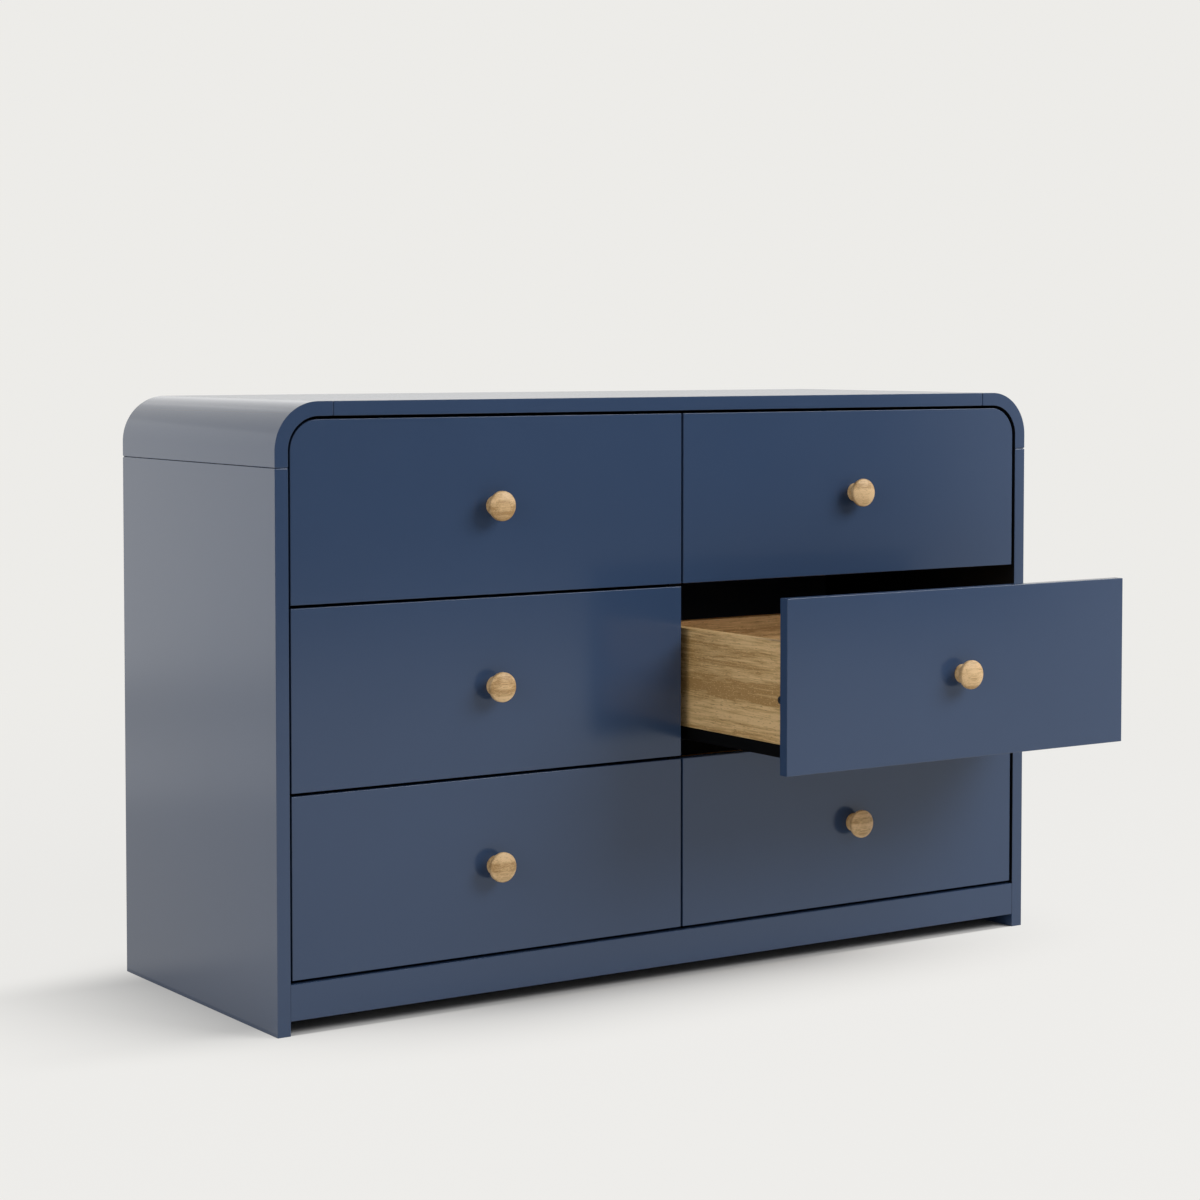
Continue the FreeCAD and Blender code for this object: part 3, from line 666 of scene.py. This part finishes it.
def dress_case_board(piece, node):
    """Ease and dress a painted board of the case, with painted shade on the faces marked inside."""
    ease_edges(piece, EDGE_EASE)
    dress(piece, satin_blue, "satin_blue_paint", "case", node)
    piece.data.materials.append(inside_painted_shade)


left_side = model_side()
right_side = copy_piece(left_side, "right_side_board", mirror=True)
dress_case_board(left_side, "left_side")
dress_case_board(right_side, "right_side")

# %% [markdown]
# ## Rounded corners
# The upper corners are bent pieces between the sides and the top, and their joints show as fine
# lines. Spin suits them: we draw the end of the piece lying flat, pull it up the short straight
# leg, spin it a quarter turn about the middle of the bend and pull it along the other leg.

# %% Corners
CORNER_RADIUS = 0.060
BEND_STEPS = 28
QUARTER_TURN = math.pi / 2


def model_corner():
    """The left corner, swept from its lower end."""
    low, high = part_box("left_corner")
    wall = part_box("left_side")[1].x - low.x
    lower_end = (low.x + wall / 2, (low.y + back_low.y) / 2, low.z)
    corner = add_plane("left_corner_bend", lower_end, wall, back_low.y - low.y)
    edit(corner)
    cut_across((-rebate_x, 0, 0), (1, 0, 0))
    pick_edges(corner, lambda middle, way: middle.y > back_low.y - SAME and middle.x < -rebate_x)
    extrude(y=rebate_depth)
    bpy.ops.mesh.select_mode(type="FACE")
    bpy.ops.mesh.select_all(action="SELECT")
    extrude(z=high.z - CORNER_RADIUS - low.z)
    bpy.ops.mesh.spin(steps=BEND_STEPS, angle=QUARTER_TURN, axis=(0, -1, 0),
                      center=(low.x + CORNER_RADIUS, 0, high.z - CORNER_RADIUS))
    extrude(x=high.x - low.x - CORNER_RADIUS)
    bpy.ops.mesh.select_all(action="SELECT")
    bpy.ops.mesh.remove_doubles(threshold=SAME)
    face_outwards()
    leave_edit()
    ease_joint(corner, lambda middle, way: middle.z < low.z + SAME or middle.x > high.x - SAME)
    mark_shaded_inside(corner)
    return corner


left_corner = model_corner()
right_corner = copy_piece(left_corner, "right_corner_bend", mirror=True)
dress_case_board(left_corner, "left_corner")
dress_case_board(right_corner, "right_corner")

# %% [markdown]
# ## Top and plinth
# The top has the same rebate on its underside, pulled out in the same way. The plinth is a board
# between the sides that stops short of the floor.

# %% Top and plinth
top_low, top_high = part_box("top_panel")
top = add_block("top_board", top_low, (top_high.x, back_low.y, top_high.z))
edit(top)
cut_across((0, 0, rebate_top), (0, 0, 1))
pick_faces(top, lambda middle, normal: normal.y > FACING and middle.z > rebate_top)
extrude(y=rebate_depth)
leave_edit()
ease_joint(top, lambda middle, way: abs(middle.x) > top_high.x - SAME)
mark_shaded_inside(top)
dress_case_board(top, "top_panel")

plinth = add_block("plinth_board", *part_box("plinth"))
ease_edges(plinth, EDGE_EASE)
dress(plinth, satin_blue, "satin_blue_paint", "case", "plinth")

# %% [markdown]
# ## Drawer fronts
# The six fronts lie almost flush in the case with a narrow shadow gap all round. Four are plain
# boards, and the two at the top follow the bend of the case with one rounded corner. The board is
# modelled once for each kind: a bevel on the edge that runs front to back makes the corner, and a
# small bevel all round softens the face.

# %% Fronts
ROWS = ("bottom", "middle", "top")
COLUMNS = ("left", "right")
DRAWERS = [f"{row}_{column}" for row in ROWS for column in COLUMNS]
FACE_ROUND, FACE_SEGMENTS = 0.0007, 3
FRONT_CORNER_STEPS = 20

corner_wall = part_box("left_side")[1].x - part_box("left_corner")[0].x
side_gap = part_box("top_left_drawer_front")[0].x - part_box("left_side")[1].x
front_corner = CORNER_RADIUS - corner_wall - side_gap


def model_front(drawer, rounded):
    """One front, with its upper left corner rounded for the top row."""
    low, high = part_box(f"{drawer}_drawer_front")
    front = add_block(f"{drawer}_front", low, high)
    if rounded:
        edit(front)
        pick_edges(front, lambda middle, way: abs(way.y) > FACING and middle.x < low.x + SAME
                   and middle.z > high.z - SAME)
        bpy.ops.mesh.bevel(offset=front_corner, segments=FRONT_CORNER_STEPS, affect="EDGES")
        leave_edit()
    return front


def shift_between(node, other):
    """The way from one node's place to that of another node of the same shape."""
    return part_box(other)[0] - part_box(node)[0]


fronts = {"bottom_left": model_front("bottom_left", rounded=False),
          "top_left": model_front("top_left", rounded=True)}
for drawer in DRAWERS:
    if drawer not in fronts and not drawer.startswith("top"):
        move = shift_between("bottom_left_drawer_front", f"{drawer}_drawer_front")
        fronts[drawer] = copy_piece(fronts["bottom_left"], f"{drawer}_front", move)
fronts["top_right"] = copy_piece(fronts["top_left"], "top_right_front", mirror=True)
for drawer, front in fronts.items():
    ease_edges(front, FACE_ROUND, FACE_SEGMENTS)
    dress(front, satin_blue, "satin_blue_paint", f"{drawer}_drawer", f"{drawer}_drawer_front")

# %% [markdown]
# ## Oak
# Knobs and drawer boxes are oak. Its look comes from stretched noise: features that are long along
# the grain and narrow across it. A broad noise gives the bands between early and late wood, a finer
# one the streaks inside a band and a very fine one the fibres. Together they pick a tone from a
# colour ramp. Two more, cut off hard, give the pale flecks of the rays and the short dark pores,
# which also sink into the surface a little. The same recipe serves every board, with the grain
# turned its way.

# %% Oak finish
PALE_SHARES, DARK_SHARES = (1.21, 1.25, 1.36), (0.66, 0.58, 0.46)    # of red, green and blue
DARK_STOP, BASE_STOP, PALE_STOP = 0.425, 0.495, 0.555
BAND_SHARE, STREAK_SHARE, FIBRE_SHARE = 0.40, 0.32, 0.28
STREAKS_PER_BAND, FIBRES_PER_BAND, RAYS_PER_PORE = 4, 18, 1.2
BAND_LENGTH, STREAK_LENGTH, FIBRE_LENGTH = 30, 40, 20                # in widths
RAY_LENGTH, PORE_LENGTH = 4, 7
RAY_CUT, RAY_TINT, RAY_STRENGTH = (0.58, 0.70), 1.1, 0.5
PORE_CUT, PORE_TINT, PORE_STRENGTH = (0.62, 0.71), 0.70, 0.6
PORE_DULLNESS, STREAK_DULLNESS = 0.12, 0.08
STREAK_RISE, GRAIN_HEIGHT = 0.25, 0.00008
OIL_IOR = 1.45


def oak(name, grain, base, bands, pores, roughness=0.5):
    """Oiled oak with its grain along an axis, and so many bands and pores to the metre across."""
    wood = Finish(name)
    pale, dark = (colour(*(channel * share for channel, share in zip(base, shares)))
                  for shares in (PALE_SHARES, DARK_SHARES))

    def figure(scale, length, **settings):
        """Noise drawn out along the grain."""
        stretch = tuple(1 / length if axis == grain else 1 for axis in "xyz")
        return wood.noise(scale, stretch=stretch, **settings)

    streaks = figure(bands * STREAKS_PER_BAND, STREAK_LENGTH, detail=4, roughness=0.6)
    tone = (figure(bands, BAND_LENGTH, detail=1, distortion=0.2) * BAND_SHARE
            + streaks * STREAK_SHARE
            + figure(bands * FIBRES_PER_BAND, FIBRE_LENGTH, detail=2) * FIBRE_SHARE)
    stops = [(DARK_STOP, dark), (BASE_STOP, base), (PALE_STOP, pale)]
    board = wood.node("ValToRGB", {"stops": stops}, {"Fac": tone})
    rays = wood.band(figure(pores * RAYS_PER_PORE, RAY_LENGTH, detail=1), *RAY_CUT)
    board = wood.mix(board, tinted(pale, RAY_TINT), rays * RAY_STRENGTH)
    pits = wood.band(figure(pores, PORE_LENGTH, detail=1), *PORE_CUT)
    board = wood.mix(board, tinted(dark, PORE_TINT), pits * PORE_STRENGTH)
    rough = roughness + PORE_DULLNESS * pits + STREAK_DULLNESS * streaks
    relief = wood.bump(streaks * STREAK_RISE - pits, GRAIN_HEIGHT)
    return wood.surface({"Base Color": board, "Roughness": rough, "IOR": OIL_IOR, "Normal": relief})


knob_oak = oak("knob_oak", "x", colour(0.63, 0.416, 0.202), bands=90, pores=1500, roughness=0.42)
side_oak = oak("drawer_side_oak", "y", colour(0.71, 0.468, 0.207), bands=34, pores=720)
back_oak = oak("drawer_back_oak", "x", colour(0.66, 0.430, 0.190), bands=34, pores=720)
base_oak = oak("drawer_base_oak", "x", colour(0.58, 0.377, 0.165), bands=30, pores=720,
               roughness=0.55)

# %% [markdown]
# ## Knobs
# A knob is turned from one piece of oak: a round foot on the drawer front, a waist for the fingers,
# and a flare out to the rim of a slightly domed face. On a lathe its outline is one line, and here
# it is a list of rings.

# %% Knob outline
FOOT_RADIUS, WAIST_RADIUS, RIM_RADIUS = 0.0125, 0.01075, 0.019
WAIST_HEIGHT, RIM_HEIGHT, FACE_HEIGHT, KNOB_HEIGHT = 0.007, 0.0155, 0.0215, 0.025
FLARE_RADIUS, RIM_RISE = RIM_RADIUS - 0.0006, 0.0012    # where the flare ends, and on to the rim
RIM_ROUND, RIM_TURN = 0.002, math.radians(72)           # the round from the rim to the face
TURNING_STEPS = 8


def knob_outline():
    """Radius and height of each ring, from the foot to the middle of the face."""
    rings = []
    for step in range(TURNING_STEPS + 1):
        share = step / TURNING_STEPS
        ease = (1 - math.cos(math.pi * share)) / 2
        rings.append((FOOT_RADIUS + (WAIST_RADIUS - FOOT_RADIUS) * ease, WAIST_HEIGHT * share))
    for step in range(1, TURNING_STEPS + 1):
        share = step / TURNING_STEPS
        flare = 1 - math.cos(QUARTER_TURN * share)
        rings.append((WAIST_RADIUS + (FLARE_RADIUS - WAIST_RADIUS) * flare,
                      WAIST_HEIGHT + (RIM_HEIGHT - WAIST_HEIGHT) * share))
    rings.append((RIM_RADIUS, RIM_HEIGHT + RIM_RISE))
    for step in range(TURNING_STEPS + 1):
        angle = RIM_TURN * step / TURNING_STEPS
        rings.append((RIM_RADIUS - RIM_ROUND * (1 - math.cos(angle)),
                      FACE_HEIGHT - RIM_ROUND * (1 - math.sin(angle))))
    edge_radius, edge_height = rings[-1]
    for step in range(1, TURNING_STEPS):
        share = 1 - step / TURNING_STEPS
        rings.append((edge_radius * share, KNOB_HEIGHT - (KNOB_HEIGHT - edge_height) * share ** 2))
    return rings


print("knob outline:", len(knob_outline()), "rings")

# %% [markdown]
# ## Turning
# Turned pieces are made as they are on the lathe: we lay a disc on the seat and pull it out ring by
# ring, resizing each. A knob's last ring is pulled out once more and merged to a point, which
# closes the face.

# %% Knobs
KNOB_SIDES = 56
KNOB_SMOOTH_ANGLE = math.radians(50)
OUTWARD = Vector((0, -1, 0))


def add_disc(name, sides, radius, place, turn):
    """A round face, with its place in its mesh."""
    bpy.ops.object.select_all(action="DESELECT")
    bpy.ops.mesh.primitive_circle_add(vertices=sides, radius=radius, fill_type="NGON",
                                      location=place, rotation=turn)
    return settle(name)


def pull_rings(seat, way, rings):
    """In edit mode, pull the selected disc along an axis from ring to ring above its seat."""
    for (radius, height), (next_radius, next_height) in zip(rings, rings[1:]):
        extrude(*(way * (next_height - height)))
        share = next_radius / radius
        keep = [1 if abs(part) > FACING else share for part in way]
        bpy.ops.transform.resize(value=keep, center_override=seat + way * next_height)


def model_knob(drawer):
    """One knob, standing on its drawer front."""
    low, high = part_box(f"{drawer}_knob")
    seat = Vector(((low.x + high.x) / 2, high.y, (low.z + high.z) / 2))
    rings = knob_outline()
    knob = add_disc(f"{drawer}_turned_knob", KNOB_SIDES, rings[0][0], seat, UPRIGHT)
    edit(knob)
    pull_rings(seat, OUTWARD, rings)
    extrude(y=rings[-1][1] - KNOB_HEIGHT)
    bpy.ops.mesh.merge(type="CENTER")
    face_outwards()
    leave_edit()
    return knob


knobs = {"bottom_left": model_knob("bottom_left")}
for drawer in DRAWERS[1:]:
    move = shift_between("bottom_left_knob", f"{drawer}_knob")
    knobs[drawer] = copy_piece(knobs["bottom_left"], f"{drawer}_turned_knob", move)
for drawer, knob in knobs.items():
    select_only(knob)
    bpy.ops.object.shade_smooth_by_angle(angle=KNOB_SMOOTH_ANGLE)
    dress(knob, knob_oak, "oak_knob", f"{drawer}_drawer", f"{drawer}_knob")

# %% [markdown]
# ## Drawer boxes
# Two sides and a back stand on a thin bottom, which slides into grooves. Each side also has a round
# hole for the cam that draws it against the front. Cutting is what a boolean modifier is for: the
# groove is a long block taken out of each side, and a cylinder makes each cam hole. One box is made
# and the other five are copies.

# %% Cutting and joining
HOLE_SIDES = 32


def add_cylinder(name, radius, start, end):
    """A round bar between two points."""
    start, end = Vector(start), Vector(end)
    turn = (end - start).to_track_quat("Z", "Y").to_euler()
    bpy.ops.object.select_all(action="DESELECT")
    bpy.ops.mesh.primitive_cylinder_add(vertices=HOLE_SIDES, radius=radius,
                                        depth=(end - start).length,
                                        location=(start + end) / 2, rotation=turn)
    return settle(name)


def carve(piece, cutter):
    """Take a cutter out of a piece and throw it away."""
    apply_modifier(piece, "BOOLEAN",
                   {"operation": "DIFFERENCE", "solver": "EXACT", "object": cutter})
    bpy.data.objects.remove(cutter)


def join_pieces(name, pieces):
    """Several shapes as one piece."""
    select_only(pieces[0])
    for piece in pieces[1:]:
        piece.select_set(True)
    bpy.ops.object.join()
    pieces[0].name = name
    return pieces[0]


print("tools: cutting and joining")

# %% Drawer boxes
BOX_WALL = 0.015
BOARD_EASE = 0.0006
GROOVE_DEPTH, GROOVE_PLAY = 0.006, 0.0003
CAM_RADIUS, CAM_DEPTH, CAM_SETBACK, CAM_HEIGHT = 0.005, 0.011, 0.016, 0.057
HOLE_PLAY = 0.0002

first = "bottom_left"
sides_low, sides_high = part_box(f"{first}_drawer_sides")
base_low, base_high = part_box(f"{first}_drawer_bottom")


def model_box_side(outer_x, inner_x):
    """One side with its groove and its cam hole."""
    inward = 1 if inner_x > outer_x else -1
    left, right = sorted((outer_x, inner_x))
    side = add_block("box_side", (left, sides_low.y, sides_low.z),
                     (right, sides_high.y, sides_high.z))
    ease_edges(side, BOARD_EASE)
    left, right = sorted((inner_x - inward * GROOVE_DEPTH, inner_x + inward * BOX_WALL))
    carve(side, add_block("groove", (left, sides_low.y - BOX_WALL, base_low.z - GROOVE_PLAY),
                          (right, sides_high.y + BOX_WALL, base_high.z + GROOVE_PLAY)))
    cam_y, cam_z = sides_low.y + CAM_SETBACK, sides_low.z + CAM_HEIGHT
    hole_start = (outer_x - inward * CAM_DEPTH, cam_y, cam_z)
    hole_end = (outer_x + inward * (CAM_DEPTH + HOLE_PLAY), cam_y, cam_z)
    carve(side, add_cylinder("cam_hole", CAM_RADIUS + HOLE_PLAY, hole_start, hole_end))
    flatten_shading(side)
    return side


box_sides = {first: join_pieces(f"{first}_box_sides", [
    model_box_side(sides_low.x, sides_low.x + BOX_WALL),
    model_box_side(sides_high.x, sides_high.x - BOX_WALL)])}
box_backs = {first: add_block(f"{first}_box_back", *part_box(f"{first}_drawer_back"))}
ease_edges(box_backs[first], BOARD_EASE)
for drawer in DRAWERS[1:]:
    move = shift_between(f"{first}_drawer_sides", f"{drawer}_drawer_sides")
    box_sides[drawer] = copy_piece(box_sides[first], f"{drawer}_box_sides", move)
    box_backs[drawer] = copy_piece(box_backs[first], f"{drawer}_box_back", move)
for drawer in DRAWERS:
    body = f"{drawer}_drawer"
    dress(box_sides[drawer], side_oak, "drawer_board", body, f"{drawer}_drawer_sides")
    dress(box_backs[drawer], back_oak, "drawer_board", body, f"{drawer}_drawer_back")

# %% [markdown]
# ## Zinc
# Fittings are plated with zinc, which dulls to a mottled grey. One noise drives both the tone and
# a very shallow bump, and a finer one spreads the gloss.

# %% Zinc
ZINC_GREY = colour(0.14, 0.14, 0.135)
BLOOM_SPOTS, GLOSS_SPOTS = 420, 900          # to the metre
BLOOM_DARK, BLOOM_PALE = 0.82, 1.06          # shares of the tone
ZINC_ROUGHNESS, ZINC_ROUGH_SPREAD = 0.34, 0.14
BLOOM_HEIGHT = 0.00002


def zinc(name, base):
    """Plated metal with a faint mottled bloom."""
    metal = Finish(name)
    bloom = metal.noise(BLOOM_SPOTS, detail=3)
    shade = metal.mix(tinted(base, BLOOM_DARK), tinted(base, BLOOM_PALE), bloom)
    rough = ZINC_ROUGHNESS + ZINC_ROUGH_SPREAD * metal.noise(GLOSS_SPOTS, detail=2)
    return metal.surface({"Base Color": shade, "Metallic": 1.0, "Roughness": rough,
                          "Normal": metal.bump(bloom, BLOOM_HEIGHT)})


fitting_zinc = zinc("fitting_zinc", ZINC_GREY)

# %% [markdown]
# ## Cams and screws
# A cam is a small zinc drum with a rim and a cross for the screwdriver. The knob is held by a screw
# with a flat round head behind the front, and two countersunk screws go through each side into
# the back. Heads are turned like the knob, from a disc, and the cross is carved by two thin blocks.

# %% Screw heads
HEAD_SIDES = 28
CROSS_LENGTH, CROSS_WIDTH, CROSS_DEPTH = 0.62, 0.16, 0.0016    # the first two in head diameters


def carve_cross(piece, centre, radius, way):
    """Carve a screwdriver's cross into a head that faces along an axis."""
    axis = max(range(3), key=lambda index: abs(way[index]))
    others = [index for index in range(3) if index != axis]
    for long_axis, short_axis in (others, others[::-1]):
        half = Vector((0, 0, 0))
        half[axis] = CROSS_DEPTH
        half[long_axis] = radius * CROSS_LENGTH
        half[short_axis] = radius * CROSS_WIDTH
        carve(piece, add_block("cross", centre - half, centre + half))


def model_head(name, seat, way, rings):
    """A head and its shank, turned about an axis: rings of radius and height above the seat."""
    seat, way = Vector(seat), Vector(way)
    turn = way.to_track_quat("Z", "Y").to_euler()
    head = add_disc(name, HEAD_SIDES, rings[0][0], seat + way * rings[0][1], turn)
    edit(head)
    pull_rings(seat, way, rings)
    face_outwards()
    leave_edit()
    crown = max(height for radius, height in rings)
    carve_cross(head, seat + way * crown, max(radius for radius, height in rings), way)
    flatten_shading(head)
    return head


print("tools: heads of", HEAD_SIDES, "sides")

# %% Cams and screws
SCREW_RADIUS, HEAD_RADIUS, HEAD_HEIGHT = 0.002, 0.004, 0.0025
KNOB_SCREW_LENGTH, BOX_SCREW_LENGTH, BOX_SCREW_INSET = 0.012, 0.040, 0.028
SUNK_RADIUS, SUNK_RIM = HEAD_RADIUS * 0.97, 0.0002
DRUM_CHAMFER, DRUM_DISH = 0.001, 0.0004
# An outline lists rings: a radius, and a height above the seat that is below zero for the shank.
PAN_HEAD = [(SCREW_RADIUS, -KNOB_SCREW_LENGTH), (SCREW_RADIUS, 0), (HEAD_RADIUS, 0),
            (HEAD_RADIUS, HEAD_HEIGHT * 0.5), (HEAD_RADIUS * 0.86, HEAD_HEIGHT * 0.85),
            (HEAD_RADIUS * 0.6, HEAD_HEIGHT)]
SUNK_HEAD = [(SCREW_RADIUS, -BOX_SCREW_LENGTH), (SCREW_RADIUS, -HEAD_HEIGHT),
             (SUNK_RADIUS, -SUNK_RIM), (SUNK_RADIUS, 0)]
CAM_DRUM = [(CAM_RADIUS * 0.9, -CAM_DEPTH), (CAM_RADIUS, -CAM_DEPTH + DRUM_CHAMFER),
            (CAM_RADIUS, -DRUM_DISH), (CAM_RADIUS * 0.94, 0), (CAM_RADIUS * 0.8, 0),
            (CAM_RADIUS * 0.76, -DRUM_DISH)]


def model_fittings(drawer):
    """All the screws and cams of one drawer."""
    front_low, front_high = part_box(f"{drawer}_drawer_front")
    board_low, board_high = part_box(f"{drawer}_drawer_back")
    low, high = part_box(f"{drawer}_drawer_sides")
    knob_seat = ((front_low.x + front_high.x) / 2, front_high.y, (front_low.z + front_high.z) / 2)
    heads = [model_head("knob_screw", knob_seat, (0, 1, 0), PAN_HEAD)]
    for outer_x, way in ((low.x, (-1, 0, 0)), (high.x, (1, 0, 0))):
        cam_seat = (outer_x, low.y + CAM_SETBACK, low.z + CAM_HEIGHT)
        heads.append(model_head("cam", cam_seat, way, CAM_DRUM))
        for level in (board_low.z + BOX_SCREW_INSET, board_high.z - BOX_SCREW_INSET):
            screw_seat = (outer_x, high.y - BOX_WALL / 2, level)
            heads.append(model_head("back_screw", screw_seat, way, SUNK_HEAD))
    return join_pieces(f"{drawer}_screws_and_cams", heads)


fittings = {f"bottom_{column}": model_fittings(f"bottom_{column}") for column in COLUMNS}
for drawer in DRAWERS:
    if drawer not in fittings:
        below = drawer.replace(drawer.split("_")[0], "bottom")
        move = shift_between(f"{below}_drawer_sides", f"{drawer}_drawer_sides")
        fittings[drawer] = copy_piece(fittings[below], f"{drawer}_screws_and_cams", move)
for drawer in DRAWERS:
    dress(fittings[drawer], fitting_zinc, "fitting_steel", f"{drawer}_drawer", f"{drawer}_fittings")

# %% [markdown]
# ## Screws in the back
# The back is a thin board in its rebate, held by a row of small screws along each edge and one down
# the middle, into the divider. They sit flush, with only the crown of the head above the board.
# One is modelled and the rest are copies, joined into one piece. The two upper corners of the
# board, which follow the bend, have none.

# %% Back screws
PANEL_SHANK_RADIUS, PANEL_HEAD_RADIUS = 0.0016, 0.0034
PANEL_SCREW_LENGTH, PANEL_HEAD_DEPTH, PANEL_CROWN = 0.010, 0.002, 0.0004
PANEL_EDGE = 0.0045                  # from the edge of the board to the screws
PANEL_COLUMNS, PANEL_ROWS = 7, 4     # screws along the width and along the height
CROWN_HEAD = [(PANEL_SHANK_RADIUS, -PANEL_SCREW_LENGTH), (PANEL_SHANK_RADIUS, -PANEL_HEAD_DEPTH),
              (PANEL_HEAD_RADIUS, 0), (PANEL_HEAD_RADIUS * 0.8, PANEL_CROWN * 0.7),
              (PANEL_HEAD_RADIUS * 0.4, PANEL_CROWN)]


def model_back_screws():
    """All the screws of the back panel."""
    low = back_low + Vector((PANEL_EDGE, 0, PANEL_EDGE))
    high = back_high - Vector((PANEL_EDGE, 0, PANEL_EDGE))
    step_x, step_z = (high.x - low.x) / (PANEL_COLUMNS - 1), (high.z - low.z) / (PANEL_ROWS - 1)
    first_seat = (low.x, back_high.y, low.z)
    first_screw = model_head("back_panel_screws", first_seat, (0, 1, 0), CROWN_HEAD)
    screws = [first_screw]
    for column in range(PANEL_COLUMNS):
        for row in range(PANEL_ROWS):
            at_end = column in (0, PANEL_COLUMNS - 1)
            on_edge = at_end or row in (0, PANEL_ROWS - 1)
            in_middle = column == PANEL_COLUMNS // 2
            in_bend = row == PANEL_ROWS - 1 and at_end
            if (column, row) != (0, 0) and (on_edge or in_middle) and not in_bend:
                move = (column * step_x, 0, row * step_z)
                screws.append(copy_piece(first_screw, "back_screw", move))
    return join_pieces("back_panel_screws", screws)


dress(model_back_screws(), fitting_zinc, "fitting_steel", "case")

# %% [markdown]
# ## Black steel and beech
# The steel of the runners is coated black, with a fine grain in the coat and a gloss that wear has
# made uneven. The coat is darker than a real one, near black, as a painted shade for the dark under
# the drawers. The dowels are beech, a pale wood with short darker flecks along its grain.

# %% Steel and beech
# near black, darker than a real coat: partly painted shade for the dark under the drawers
COAT_BLACK_AND_SHADE, COAT_WORN_AND_SHADE = colour(0.0022, 0.0022, 0.0024), colour(0.0042, 0.0042, 0.0045)
COAT_GRAIN, WORN_PATCHES = 1400, 30          # to the metre
COAT_ROUGHNESS, WORN_DULLNESS, COAT_SPECULAR = 0.46, 0.16, 0.05
COAT_HEIGHT = 0.00004
BEECH_PALE, BEECH_FLECK = colour(0.55, 0.37, 0.22), colour(0.38, 0.22, 0.12)
BEECH_FLECKS, FLECK_STRETCH, FLECK_CUT = 700, (0.15, 1, 1), (0.55, 0.7)
BEECH_ROUGHNESS, FLECK_HEIGHT = 0.6, 0.00005


def coated_steel(name):
    """Black powder coat with a fine grain, darkened to near black as painted shade."""
    coat = Finish(name)
    grain = coat.noise(COAT_GRAIN, detail=2)
    worn = coat.noise(WORN_PATCHES, detail=4)
    return coat.surface({"Base Color": coat.mix(COAT_BLACK_AND_SHADE, COAT_WORN_AND_SHADE, worn),
                         "Roughness": COAT_ROUGHNESS + WORN_DULLNESS * worn,
                         "Specular IOR Level": COAT_SPECULAR,
                         "Normal": coat.bump(grain, COAT_HEIGHT)})


def beech(name):
    """Pale dowel wood with short flecks along x."""
    wood = Finish(name)
    flecks = wood.band(wood.noise(BEECH_FLECKS, detail=2, stretch=FLECK_STRETCH), *FLECK_CUT)
    return wood.surface({"Base Color": wood.mix(BEECH_PALE, BEECH_FLECK, flecks),
                         "Roughness": BEECH_ROUGHNESS,
                         "Normal": wood.bump(flecks, FLECK_HEIGHT)})


runner_black_and_shade = coated_steel("black_runner_steel")
dowel_beech = beech("dowel_beech")

# %% [markdown]
# ## What stays as it is in the frame
# Runners, slide bars, the bottom, the divider, the foot, the dowels, the back panel and the drawer
# bottoms already have their true shape, so their CAD objects stay and only get a finish.

# %% Carried-over nodes
# the bottom, the divider and the foot get the near-black painted shade of the inside
carried = [("bottom_panel", inside_painted_shade, "case_board"),
           ("centre_divider", inside_painted_shade, "case_board"),
           ("centre_foot", inside_painted_shade, "case_board"),
           ("back_panel", back_blue, "back_board"),
           ("case_dowels", dowel_beech, "dowel_wood"),
           ("case_runners", runner_black_and_shade, "runner_steel")]
for drawer in DRAWERS:
    carried += [(f"{drawer}_drawer_bottom", base_oak, "drawer_base"),
                (f"{drawer}_runners", runner_black_and_shade, "runner_steel"),
                (f"{drawer}_slide_bars", runner_black_and_shade, "runner_steel")]

for node, finish, slot in carried:
    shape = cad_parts[node]
    shape.data.materials.clear()
    shape.data.materials.append(finish)
print("refinished", len(carried), "CAD nodes")
